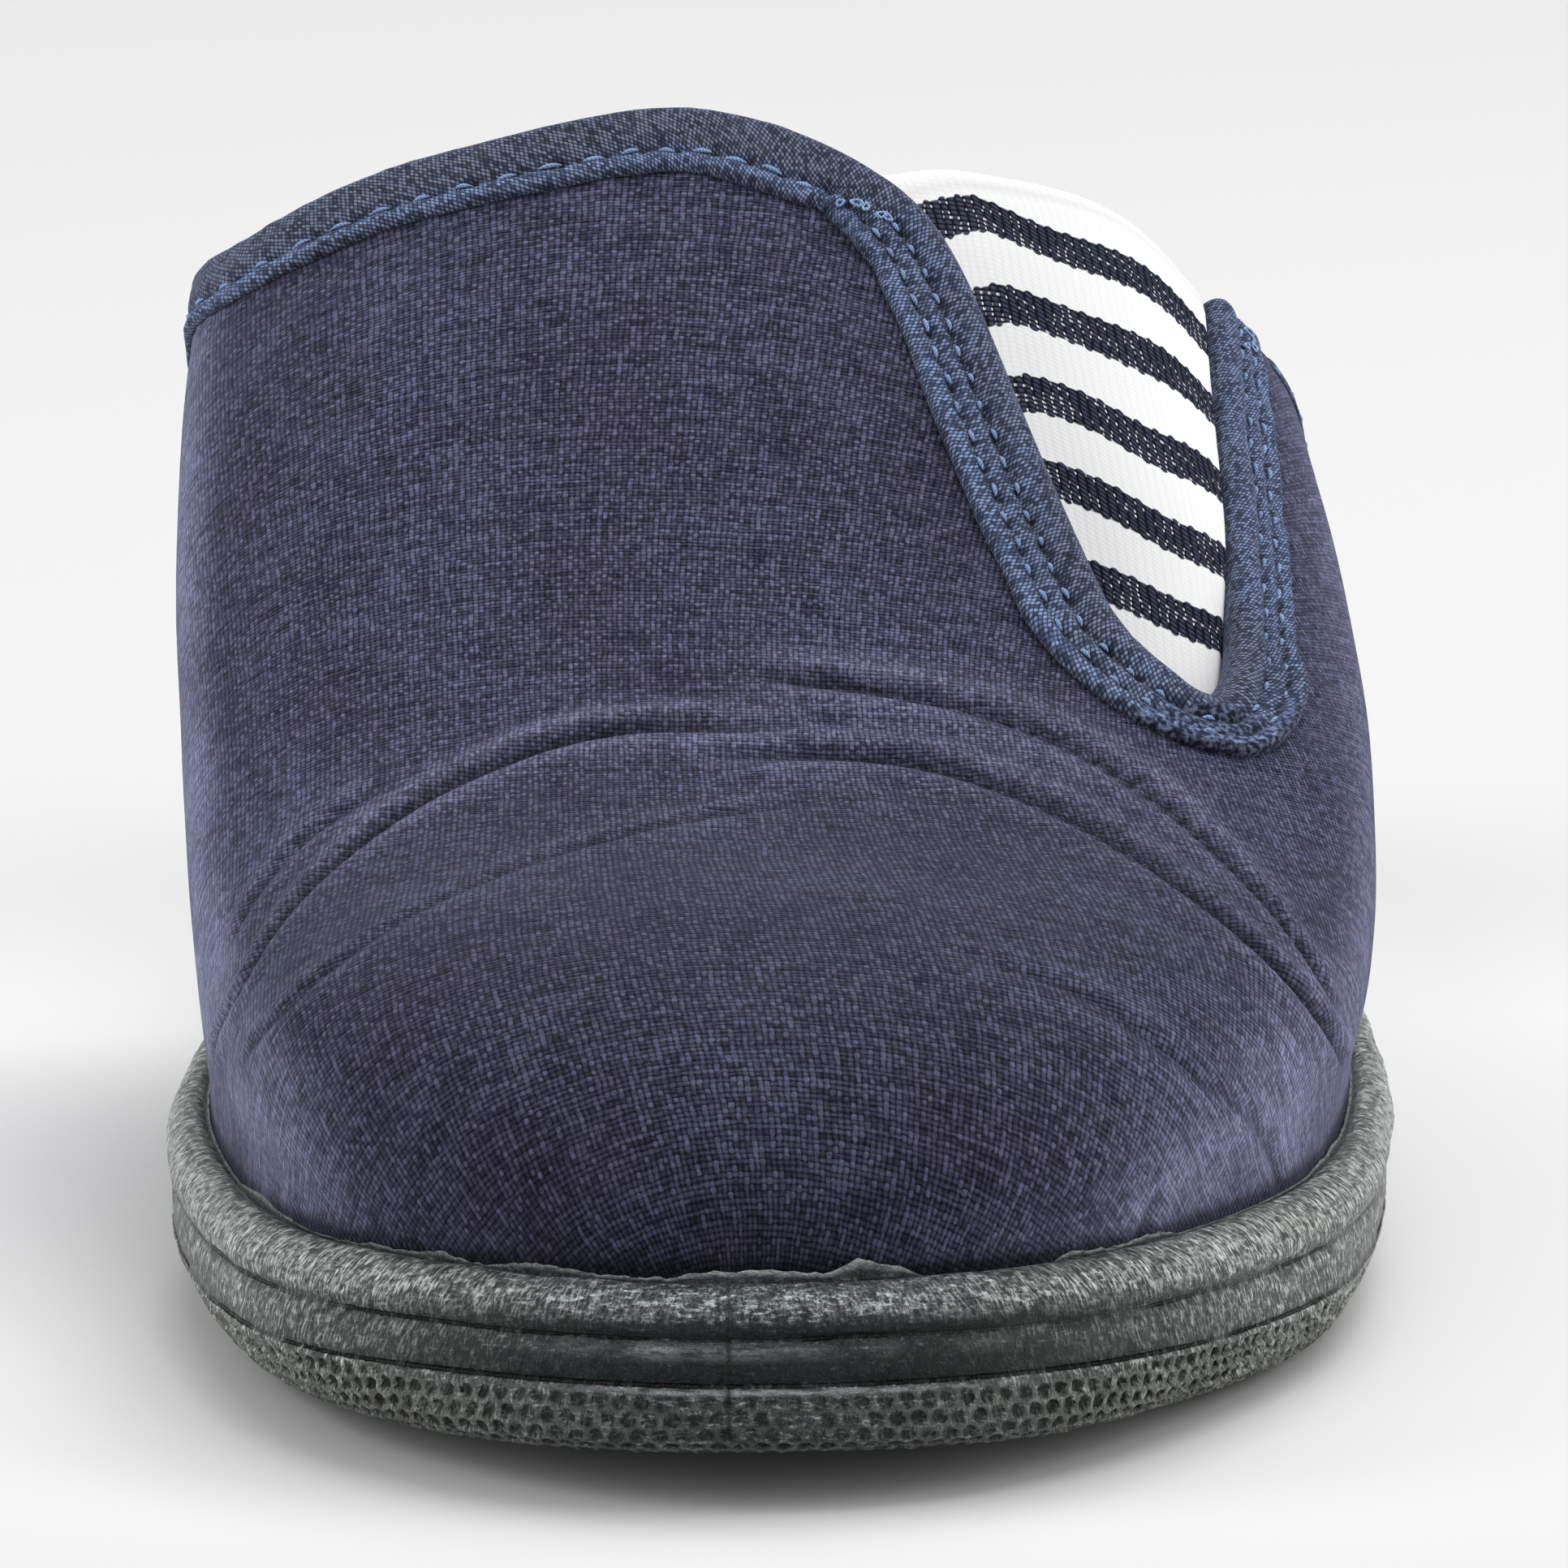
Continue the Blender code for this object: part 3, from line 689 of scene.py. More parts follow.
def drop_maps(piece):
    while piece.data.uv_layers:
        piece.data.uv_layers.remove(piece.data.uv_layers[0])


def points_of(piece):
    return np.array([vertex.co for vertex in piece.data.vertices]) * METRE


def place(piece, points):
    piece.data.vertices.foreach_set("co", (points / METRE).astype(np.float32).ravel())
    piece.data.update()


def lay_flat(piece, name, across, along):
    """A UV map in millimetres from two lengths for each vertex."""
    layer = piece.data.uv_layers.new(name=name)
    corners = np.empty(len(piece.data.loops), np.int32)
    piece.data.loops.foreach_get("vertex_index", corners)
    flat = np.stack([across.ravel(), along.ravel()], axis=1)[corners]
    layer.data.foreach_set("uv", flat.astype(np.float32).ravel())


def paint(piece, name, amount):
    """A named amount for each vertex, read by the finish."""
    layer = piece.data.attributes.new(name, "FLOAT", "POINT")
    layer.data.foreach_set("value", amount.astype(np.float32).ravel())


def join_up(piece, fill=False, outwards=True):
    """Merges the seams, closes open ends and turns the faces outwards."""
    take_up(piece)
    bpy.ops.object.mode_set(mode="EDIT")
    bpy.ops.mesh.select_all(action="SELECT")
    bpy.ops.mesh.remove_doubles(threshold=2e-6)
    if fill:
        bpy.ops.mesh.fill_holes(sides=0)
        bpy.ops.mesh.select_all(action="SELECT")
    if outwards:
        bpy.ops.mesh.normals_make_consistent(inside=False)
    bpy.ops.object.mode_set(mode="OBJECT")
    bpy.ops.object.shade_smooth()


def give_wall(piece, thickness, lining=0):
    """A wall of that thickness behind the faces."""
    take_up(piece)
    wall = piece.modifiers.new("wall", "SOLIDIFY")
    wall.thickness = thickness / METRE
    wall.offset = -1
    wall.use_even_offset = False
    wall.material_offset = lining
    wall.material_offset_rim = lining
    bpy.ops.object.modifier_apply(modifier=wall.name)
    bpy.ops.object.shade_smooth()


def join_pieces(name, pieces):
    bpy.ops.object.select_all(action="DESELECT")
    for piece in pieces:
        piece.select_set(True)
    bpy.context.view_layer.objects.active = pieces[0]
    bpy.ops.object.join()
    joined = bpy.context.object
    joined.name = joined.data.name = name
    return joined


def dress(piece, slot, finishes, *nodes):
    for finish in finishes:
        piece.data.materials.append(finish)
    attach(piece, "root")
    if nodes:
        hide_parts(*nodes)


# ---- Finishes ----


class Value:
    """A number or colour carried by a socket. Sums and products of it add Math nodes."""

    def __init__(self, finish, socket):
        self.finish = finish
        self.socket = socket

    def math(self, operation, *others, first=None):
        values = [self, *others] if first is None else [first, self]
        return self.finish.node("ShaderNodeMath", {"operation": operation}, dict(enumerate(values)))

    def __add__(self, other):
        return self.math("ADD", other)

    def __sub__(self, other):
        return self.math("SUBTRACT", other)

    def __rsub__(self, other):
        return self.math("SUBTRACT", first=other)

    def __mul__(self, other):
        return self.math("MULTIPLY", other)

    def __truediv__(self, other):
        return self.math("DIVIDE", other)

    def __pow__(self, other):
        return self.math("POWER", other)

    def __abs__(self):
        return self.math("ABSOLUTE")

    __radd__ = __add__

    def between(self, low, high):
        """0 below low, 1 above high, smooth in between."""
        settings = {"interpolation_type": "SMOOTHSTEP"}
        return self.finish.node("ShaderNodeMapRange", settings, {0: self, 1: low, 2: high, 3: 0.0, 4: 1.0})

    def wave(self, pitch):
        """0 at every whole pitch and 1 half way between."""
        return abs((self * (math.pi / pitch)).math("SINE"))


class Finish:
    """A material's node tree. Constants are named like its shader's inputs, and every node is added by
    one method."""

    def __init__(self, name, **constants):
        self.material = bpy.data.materials.new(name)
        self.material.use_nodes = True
        self.tree = self.material.node_tree
        self.shader = self.tree.nodes["Principled BSDF"]
        for socket, value in constants.items():
            self.shader.inputs[socket.replace("_", " ")].default_value = value

    def feed(self, socket, value):
        if isinstance(value, Value):
            self.tree.links.new(value.socket, socket)
        else:
            socket.default_value = value

    def node(self, kind, settings, values, output=0):
        made = self.tree.nodes.new(kind)
        for key, setting in settings.items():
            setattr(made, key, setting)
        for key, value in values.items():
            self.feed(made.inputs[key], value)
        return Value(self, made.outputs[output])

    def flat(self, name):
        """The two lengths of a UV map, in millimetres."""
        lengths = self.node("ShaderNodeUVMap", {"uv_map": name}, {})
        return [self.node("ShaderNodeSeparateXYZ", {}, {0: lengths}, output) for output in (0, 1)]

    def painted(self, name):
        return self.node("ShaderNodeAttribute", {"attribute_name": name}, {}, 2)

    def at(self, x, y, z=0.0):
        return self.node("ShaderNodeCombineXYZ", {}, {0: x, 1: y, 2: z})

    def noise(self, spot, scale, detail, roughness):
        values = {"Vector": spot, "Scale": scale, "Detail": detail, "Roughness": roughness}
        return self.node("ShaderNodeTexNoise", {}, values)

    def speck(self, across, along, seed=0.0, detail=2.0, roughness=0.5):
        """Noise over two lengths."""
        return self.noise(self.at(across, along, seed), 1.0, detail, roughness)

    def own_value(self, column, line):
        """A number from 0 to 1 that each cell has to itself."""
        settings = {"noise_dimensions": "2D"}
        return self.node("ShaderNodeTexWhiteNoise", settings, {"Vector": self.at(column, line)})

    def own_space(self):
        return self.node("ShaderNodeTexCoord", {}, {}, 3)

    def solid_noise(self, scale, detail, roughness=0.5):
        """Noise in the part's own space; scale is per metre."""
        return self.noise(self.own_space(), scale, detail, roughness)

    def mix(self, share, first, second):
        return self.node("ShaderNodeMix", {"data_type": "RGBA"}, {0: share, 6: first, 7: second}, 2)

    def shade(self, colour, amount):
        """A colour made darker or lighter by an amount."""
        return self.node("ShaderNodeVectorMath", {"operation": "SCALE"}, {0: colour, 3: amount})

    def relief(self, height, depth):
        """A bump of that depth in millimetres."""
        values = {"Strength": 1.0, "Distance": depth / METRE, "Height": height}
        return self.node("ShaderNodeBump", {}, values)

    def finish(self, colour, normal=None, roughness=None):
        for socket, value in (("Base Color", colour), ("Normal", normal), ("Roughness", roughness)):
            if value is not None:
                self.feed(self.shader.inputs[socket], value)
        return self.material


def rgb(red, green, blue):
    return red, green, blue, 1.0


def canvas_finish():
    """Plain weave: light warp tops in a chequer over duller weft, dark holes at the crossings' corners,
    each top of its own brightness, with slubs, fuzz and soft clouds."""
    cloth = Finish(
        "navy canvas", Roughness=0.85, Specular_IOR_Level=0.12,
        Sheen_Weight=0.22, Sheen_Roughness=0.30, Sheen_Tint=rgb(0.62, 0.66, 1.0)
    )
    across, along = cloth.flat("cloth")
    sway = cloth.speck(across * 0.25, along * 0.25, 5.0)
    jitter = cloth.speck(across * 1.1, along * 1.1, 3.0) - 0.5
    across = (across + sway * 0.5 + jitter * 0.20) / WARP_PITCH
    along = along * (along * WEFT_CLOSING + 1.0)
    along = (along + sway * 0.4 + jitter * 0.25) / WEFT_PITCH
    column, line = (across + 0.5).math("FLOOR"), (along + 0.5).math("FLOOR")
    over, up = (across - column) * 2.0, (along - line) * 2.0
    crossing = (across * math.pi).math("COSINE") * ((along + over * 0.10) * math.pi).math("COSINE")
    warp_top = (1.0 - over * over) * (crossing * 0.36 + 0.60)
    weft_top = (1.0 - up * up) * (0.55 - crossing * 0.28)
    own = cloth.own_value(column, line)
    slub_up = cloth.speck(across * 0.9, along * 0.08, detail=1.0).between(0.35, 0.65)
    slub_over = cloth.speck(across * 0.08, along * 0.9, 7.0, 1.0).between(0.35, 0.65)
    fuzz = cloth.speck(across * 1.3, along * 1.3, 11.0, 4.0, 0.75)
    cloud = cloth.solid_noise(55.0, 5.0, 0.7).between(0.35, 0.65)
    bright = own ** 3.0 * 0.85 + slub_up * 0.16 + 0.17
    lit = warp_top * bright + weft_top * (slub_over * 0.30 + 0.22)
    lit = (lit - 0.24) * 1.8 + 0.24 + (fuzz - 0.5) * 0.6
    lit = lit.math("MAXIMUM", 0.0) * (cloud * 0.35 + 0.90)
    yarn = cloth.mix(cloud, rgb(0.150, 0.134, 0.242), rgb(0.134, 0.145, 0.252))
    # Real wear and painted light together: lighter, bluer yarn where worn, with a painted sheen on the
    # upright sides and a painted highlight on the creases' ridges.
    wear_and_painted_light = cloth.painted("wear_and_painted_light")
    yarn = cloth.mix(wear_and_painted_light, yarn, rgb(0.43, 0.45, 0.68))
    lit = lit + wear_and_painted_light * (fuzz.between(0.35, 0.65) * 0.30 + 0.26)
    colour = cloth.mix(lit, rgb(0.003, 0.003, 0.012), yarn)
    scuff = cloth.speck(across * 0.45, along * 0.30, 13.0, 6.0, 0.8)
    colour = cloth.mix(scuff.between(0.50, 0.60) * wear_and_painted_light * 0.8, colour, rgb(0.24, 0.26, 0.42))
    nap = cloth.speck(across * 0.80, along * 0.65, 17.0, 6.0, 0.85)
    pile = cloth.speck(across * 0.09, along * 0.65, 19.0, 5.0, 0.8)
    nap = nap + (pile - nap) * cloth.painted("side")
    # Painted shade: darker in the creases' troughs, just over the rim and on the toe.
    in_creases = 1.0 - cloth.painted("painted_shade") * 0.78
    colour = cloth.shade(colour, in_creases * (nap.between(0.36, 0.64) * 0.62 + 0.54))
    height = warp_top * (own * 0.5 + 0.8) + weft_top * 0.7 + fuzz * 0.5
    return cloth.finish(colour, cloth.relief(height, 0.13))


def lining_finish():
    cloth = Finish("lining cloth", Roughness=0.95, Sheen_Weight=0.2)
    across, along = cloth.flat("cloth")
    knit = (across + along * 0.5).wave(0.9) * along.wave(0.7)
    tone = cloth.solid_noise(90.0, 3.0)
    colour = cloth.mix(tone.between(0.3, 0.7), rgb(0.045, 0.048, 0.060), rgb(0.075, 0.078, 0.095))
    colour = cloth.shade(colour, knit * 0.5 + 0.6)
    return cloth.finish(colour, cloth.relief(knit, 0.15))


def tape_finish():
    """Twill: fine slanting ribs; the roll is dark and the rubbed cord and bands are lighter."""
    tape = Finish(
        "navy twill tape", Roughness=0.8, Specular_IOR_Level=0.15,
        Sheen_Weight=0.3, Sheen_Roughness=0.35, Sheen_Tint=rgb(0.6, 0.68, 1.0)
    )
    along, across = tape.flat("cloth")
    sway = tape.speck(along * 0.5, across * 0.5)
    thread, rib = along / TWILL_THREAD, (across + along * 0.6 + sway * 0.2) / TWILL_RIB
    column, line = thread.math("FLOOR"), rib.math("FLOOR")
    over, up = (thread - column - 0.5) * 2.0, (rib - line - 0.5) * 2.0
    own = tape.own_value(column, line)
    weave = (1.0 - over * over) * (1.0 - up * up) * (own ** 1.6 * 1.9 + 0.15)
    speckle = tape.solid_noise(2300.0, 1.0).between(0.36, 0.78)
    weave = weave + (speckle * 0.72 - weave) * tape.painted("bend").math("MINIMUM", 1.0)
    slub = tape.speck(along * 1.0, across * 1.8, 0.0, 4.0, 0.7)
    # Rubbed and lighter where worn; the border's lower face at the notch's foot is kept darker as painted
    # shade.
    rubbed_and_painted_light = tape.painted("rubbed_and_painted_light")
    patchy = (rubbed_and_painted_light + (slub - 0.5) * 1.4 * rubbed_and_painted_light).math("MAXIMUM", 0.0)
    face = tape.mix(patchy, rgb(0.190, 0.215, 0.330), rgb(0.275, 0.385, 0.670))
    gap = tape.mix(patchy, rgb(0.004, 0.005, 0.012), rgb(0.010, 0.016, 0.040))
    lit = weave * (slub.between(0.3, 0.7) * 0.7 + 0.62)
    colour = tape.mix(lit, gap, face)
    # Painted shade in the stitch holes and under the border, where the tape lies below the canvas.
    colour = tape.shade(colour, 1.0 - tape.painted("hollow").math("MINIMUM", 1.0) * 0.93)
    return tape.finish(colour, tape.relief(weave + slub * 0.8, 0.14))


def thread_finish(name, light, dark):
    thread = Finish(name, Roughness=0.55, Sheen_Weight=0.2)
    along, across = thread.flat("cloth")
    twist = (along * 1.2 + across).wave(0.34)
    tone = thread.solid_noise(500.0, 2.0)
    colour = thread.mix(twist * (tone.between(0.3, 0.7) * 0.5 + 0.5), dark, light)
    return thread.finish(colour, thread.relief(twist, 0.06))


def elastic_finish():
    """White knit with navy stripes: upright cords of small beads, scalloped stripe edges, white flecks."""
    knit = Finish("striped elastic", Roughness=0.8, Specular_IOR_Level=0.12)
    across, height = knit.flat("knit")
    sway = knit.speck(across * 0.8, height * 0.8, detail=1.0)
    cord = (across + sway * 0.25) / CORD_PITCH
    odd = (cord.math("FLOOR") * 0.5).math("FRACT")
    over = (cord.math("FRACT") - 0.5) * 2.0
    bead = ((height / BEAD_PITCH + odd + over * 0.25).math("FRACT") - 0.5) * 2.0
    round_cord = 1.0 - over * over
    round_bead = 1.0 - bead * bead
    lump = (round_cord * (round_bead * 0.85 + 0.15)) ** 0.6
    stripe = knit.painted("stripe")
    navy = 1.0 - (stripe - round_cord * (odd * 0.24 + 0.02) + 0.04).between(0.95, 1.02)
    own = knit.own_value(cord.math("FLOOR"), (height / BEAD_PITCH + odd).math("FLOOR"))
    low = knit.painted("stripe_low")
    fleck = (own + low * 0.40).between(0.86, 0.90) * (1.0 - round_cord.between(0.38, 0.70))
    fleck = fleck * (1.0 - abs(bead).between(0.35, 0.65))
    dark = knit.mix(lump.between(0.35, 0.95), rgb(0.004, 0.005, 0.010), rgb(0.042, 0.050, 0.086))
    dark = knit.mix(fleck, dark, rgb(0.95, 0.95, 1.0))
    white = knit.mix(lump, rgb(0.80, 0.80, 0.81), rgb(0.85, 0.85, 0.85))
    white = knit.mix(knit.painted("top_hem") * 0.35, white, rgb(0.60, 0.58, 0.57))
    colour = knit.mix(navy, white, dark)
    depth = lump * (navy * 0.93 + 0.07)
    return knit.finish(colour, knit.relief(depth, 0.26))


def rubber_finish():
    """Grey-green rubber: light fibres brushed over a dark ground, smeared flat at the toe, with honeycomb
    bowls and thin grooves painted dark as shade, and painted highlights on the ridges between the bowls."""
    rubber = Finish("sole rubber", Specular_IOR_Level=0.20)
    along, up = rubber.flat("brushed")
    bend = rubber.speck(along * 0.35, up * 0.35, 9.0) * 1.4
    across_fibre = along + bend
    fibre = rubber.speck(across_fibre * 3.0, up * 0.65, 0.0, 3.0, 0.6)
    fine = rubber.speck(across_fibre * 6.0, up * 1.6, 4.0, 2.0, 0.6)
    smear = rubber.speck(along * 0.45, up * 2.2, 5.0, 4.0, 0.75)
    speck = rubber.speck(along * 2.2, up * 2.6, 6.0, 3.0, 0.7)
    blotch = rubber.speck(along * 0.8, up * 0.9, 8.0, 4.0, 0.65)
    front = rubber.painted("front")
    brushed = (fibre * 0.6 + fine * 0.4).between(0.45, 0.59)
    smeared = (smear * 0.55 + speck * 0.45).between(0.47, 0.62)
    streak = brushed + (smeared - brushed) * front
    # Paleness of the fibres, with painted light and shade by height and at the toe.
    paleness_and_painted_light = rubber.painted("paleness_and_painted_light")
    tint = rubber.solid_noise(90.0, 3.0).between(0.35, 0.65)
    light = rubber.mix(tint, rgb(0.68, 0.71, 0.65), rgb(0.84, 0.86, 0.83))
    # At the toe the pale streaks are painted glossy highlights, bluer, and the ground is painted darker as
    # shade.
    light = rubber.mix(front, light, rgb(0.74, 0.80, 0.82))
    ground = rubber.mix(tint, rgb(0.018, 0.024, 0.022), rgb(0.040, 0.046, 0.038))
    ground = rubber.mix(front, ground, rgb(0.003, 0.007, 0.009))
    amount = (streak * 1.5 + 0.03) * paleness_and_painted_light * (blotch.between(0.36, 0.64) * 1.2 + 0.36)
    # Painted highlight along the band edges below the grooves and along the flash's top edge.
    painted_edge_highlight = rubber.painted("painted_edge_highlight") * (smear.between(0.36, 0.60) * 0.7 + 0.12)
    colour = rubber.mix(amount.math("MINIMUM", 1.0).math("MAXIMUM", painted_edge_highlight), ground, light)
    cell_x, cell_y = rubber.flat("honeycomb")
    nearest = None
    for odd in (0, 1):
        over = (cell_x / DIMPLE_PITCH + (0.5 - odd * 0.5)).math("FRACT") - 0.5
        rise = ((cell_y - FIRST_DIMPLES) / (2 * DIMPLE_ROW) + (0.5 - odd * 0.5)).math("FRACT") - 0.5
        over, rise = over * DIMPLE_PITCH, rise * (2 * DIMPLE_ROW)
        away = (over * over + rise * rise) ** 0.5
        nearest = away if nearest is None else nearest.math("MINIMUM", away)
    rough_edge = rubber.speck(cell_x * 2.0, cell_y * 2.0, 2.0)
    bowl = 1.0 - (nearest + rough_edge * 0.4 - 0.2).between(0.36, 0.70)
    bowl = bowl * rubber.painted("dimples")
    ridge = nearest.between(0.62, 0.86) * rubber.painted("dimples")
    # Painted highlight on the ridges between the bowls, and painted shade inside them.
    colour = rubber.mix(ridge * (0.25 + fine * 0.3), colour, rgb(0.34, 0.35, 0.29))
    colour = rubber.mix(bowl * 0.92, colour, rgb(0.018, 0.019, 0.013))
    wavy = rubber.speck(along * 0.9, up * 0.2, 6.0, 3.0)
    line = 1.0 - (rubber.painted("to_groove") + wavy * 0.25 - 0.1).between(0.10, 0.26)
    line = line * rubber.painted("groove") * wavy.between(0.30, 0.5)
    # Painted shade: thin dark lines along the grooves.
    colour = rubber.mix(line, colour, rgb(0.008, 0.009, 0.008))
    colour = rubber.mix(rubber.painted("seam") * 0.8, colour, rgb(0.012, 0.014, 0.013))
    roughness = 0.33 - streak * 0.06
    height = streak * 0.8 + blotch * 1.6 - bowl * 1.6 - line * 1.2
    return rubber.finish(colour, rubber.relief(height, 0.32), roughness)


def tread_finish():
    tread = Finish("tread rubber", Roughness=0.6)
    along, up = tread.flat("brushed")
    values = {"Vector": tread.at(along, up), "Scale": 0.45, "Randomness": 0.25}
    cells = tread.node("ShaderNodeTexVoronoi", {"feature": "DISTANCE_TO_EDGE"}, values)
    marble = tread.solid_noise(110.0, 4.0, 0.6)
    colour = tread.mix(marble.between(0.3, 0.7), rgb(0.13, 0.145, 0.135), rgb(0.26, 0.28, 0.26))
    wall = cells.between(0.02, 0.16)
    # Painted shade: the cells' hollow middles are darker than their raised walls.
    colour = tread.mix(wall, colour, tread.shade(colour, 0.45))
    return tread.finish(colour, tread.relief(1.0 - wall, 0.5))


def footbed_finish():
    cloth = Finish("insole cloth", Roughness=0.95, Sheen_Weight=0.25)
    across, along = cloth.flat("cloth")
    weave = (across + along).wave(1.1) * (across - along).wave(1.1)
    fuzz = cloth.speck(across * 1.4, along * 1.4, 0.0, 4.0, 0.7)
    tone = cloth.solid_noise(40.0, 3.0)
    colour = cloth.mix(tone.between(0.3, 0.7), rgb(0.085, 0.088, 0.105), rgb(0.135, 0.138, 0.16))
    colour = cloth.shade(colour, weave * 0.45 + fuzz * 0.7 + 0.25)
    return cloth.finish(colour, cloth.relief(weave * 0.6 + fuzz * 0.6, 0.28))


# ---- Canvas ----


def cut_pattern(piece, name, up_axis):
    """A UV map in millimetres: the cloth laid flat as a cutter's pattern with little stretch, and turned
    so that its length runs up the middle of the upper. up_axis holds vertices low and high on it."""
    piece.data.uv_layers.new(name=name)
    take_up(piece)
    bpy.ops.object.mode_set(mode="EDIT")
    bpy.ops.mesh.select_all(action="SELECT")
    bpy.ops.uv.unwrap(method="MINIMUM_STRETCH", iterations=5, margin=0.0)
    bpy.ops.object.mode_set(mode="OBJECT")
    mesh = piece.data
    corners = np.empty(len(mesh.loops), np.int32)
    mesh.loops.foreach_get("vertex_index", corners)
    flat = np.empty(len(mesh.loops) * 2, np.float32)
    mesh.uv_layers[name].data.foreach_get("uv", flat)
    flat = flat.reshape(-1, 2).astype(float)
    starts = np.empty(len(mesh.polygons), np.int32)
    mesh.polygons.foreach_get("loop_start", starts)
    area = sum(polygon.area for polygon in mesh.polygons) * METRE**2
    a, b, c, d = (flat[starts + corner] for corner in range(4))
    one, other = c - a, d - b
    flat_area = np.abs(one[:, 0] * other[:, 1] - one[:, 1] * other[:, 0]).sum() / 2
    flat *= math.sqrt(area / flat_area)
    low, high = (flat[np.isin(corners, ends)].mean(0) for ends in up_axis)
    way = (high - low) / np.linalg.norm(high - low)
    turned = np.stack([flat @ np.array([way[1], -way[0]]), flat @ way], axis=1)
    mesh.uv_layers[name].data.foreach_set("uv", (turned - turned.min(0)).astype(np.float32).ravel())


def crease_relief(across, station):
    """Soft troughs with a ridge on each side, how deep in a trough each place lies, for the painted shade
    there, and how rubbed the ridges are, with a painted highlight on them."""
    relief = np.zeros_like(across)
    shade = np.zeros_like(across)
    rubbed_and_painted_light = np.zeros_like(across)
    for _, depth, width, stops in CREASES:
        places, stations = np.array(stops).T
        line = natural_spline(places, stations)
        middle = line(np.clip(across, places[0], places[-1]))
        slope = (line(across + 0.01) - line(across - 0.01)) / (0.02 * HALF_GIRTH)
        distance = (station - middle) / np.sqrt(1 + slope**2)
        fade = CREASE_FADE * (places[-1] - places[0])
        inside = ease((across - places[0]) / fade) * ease((places[-1] - across) / fade)
        trough = hill(distance, width)
        ridges = sum(
            height * hill(distance - away * width, spread * width) for height, away, spread in CREASE_RIDGES
        )
        relief += depth * inside * (ridges - trough)
        # Painted highlight on the ridges beside each trough, where they are rubbed too.
        rubbed_and_painted_light += 1.6 * depth * inside * ridges * (1 - trough)
        uneven = 0.65 + 0.7 * grain(across * 14 + depth * 50, width * 9)
        # Painted shade deep in each trough.
        shade += inside * hill(distance, width * 0.85) * depth * uneven / 0.85
    return relief, np.clip(shade, 0, 1), np.clip(rubbed_and_painted_light, 0, 1)


def puckers(height_and_pitch, along, beyond):
    """Small waves in the canvas that fade away from the tape's edge."""
    height, pitch = height_and_pitch
    return height * np.exp(-np.clip(beyond, 0, None) / PUCKER_REACH) * np.sin(along * 2 * math.pi / pitch)


def canvas_relief(row, across):
    """How far the worn canvas stands off the last: creases, a slack face and puckers by the tape."""
    station = station_at(row, across)
    relief, shade, rubbed_and_painted_light = crease_relief(across, station)
    slack = grain(across * 5.0 + 20, station / 17.0) - 0.5
    slack += 0.5 * (grain(across * 11.0 + 9, station / 8.0 + 30) - 0.5)
    relief = relief + SLACK * slack
    medial_edge, lateral_edge = MEDIAL_EDGE(notch_reach(row)), LATERAL_EDGE(notch_reach(row))
    edge = np.where(across < medial_edge + 0.05, medial_edge, lateral_edge)
    beyond = np.abs(across - edge) * SIDE_SPAN - TAPE_WIDTH
    by_notch = ease((row - NOTCH_FOOT + 0.06) / 0.05)
    relief = relief + by_notch * puckers(NOTCH_PUCKERS, row * ROW_LENGTH, beyond)
    to_throat = (1 - row) * (throat_station(across) - TOE_FOOT)
    relief = relief + puckers(THROAT_PUCKERS, across * SIDE_SPAN, to_throat - TAPE_WIDTH)
    beside_notch = np.where(row > NOTCH_FOOT - 0.06, ease((beyond + 2.5) / 3.0), 1.0)
    outside_tape = ease((to_throat - 4.0) / 3.0) * beside_notch
    by_sole = np.abs(across) > 0.9
    relief = np.where(by_sole, relief * np.clip((1 - np.abs(across)) / 0.1, 0, 1), relief)
    return relief * np.clip(outside_tape, 0, 1), shade, rubbed_and_painted_light


def canvas_shade(row, across, crease_shade):
    """Painted shade: how dark each place is painted, deep in the creases' troughs, just over the rim where
    the canvas meets the sole, and on the toe.
    """
    points = skin(row, across)
    over_rim = points[..., 2] - rim(points[..., 1] + LENGTH / 2)
    by_rim = 0.9 * hill(np.clip(over_rim - 0.2, 0, None), 0.9) + 0.3 * hill(np.clip(over_rim, 0, None), 7.0)
    toe = 0.40 * ease((76 - station_at(row, across)) / 26) * ease((0.75 - np.abs(across + 0.1)) / 0.4)
    return np.clip(crease_shade + by_rim + toe, 0, 1.1)


def canvas_wear_and_painted_light(row, across, sideways, crease_shade, ridges):
    """How worn and how lit each place is painted: real wear low on the outer side, a painted sheen on the
    upright sides, stronger on the inner one, and a painted highlight with some wear on the creases' ridges.
    """
    patchy = grain(across * 9 + 4, row * 14)
    low = ease((across - 0.40) / 0.40) * ease((0.64 - row) / 0.38)
    upright = ease((sideways - 0.72) / 0.26) * np.where(across < 0, 1.6, 0.65)
    on_ridges = ridges * (0.16 + 0.44 * patchy) * (1 - crease_shade)
    wear_and_painted_light = low * (0.18 + 0.40 * patchy) + upright * (0.18 + 0.36 * patchy) + on_ridges
    return np.clip(wear_and_painted_light, 0, 1)


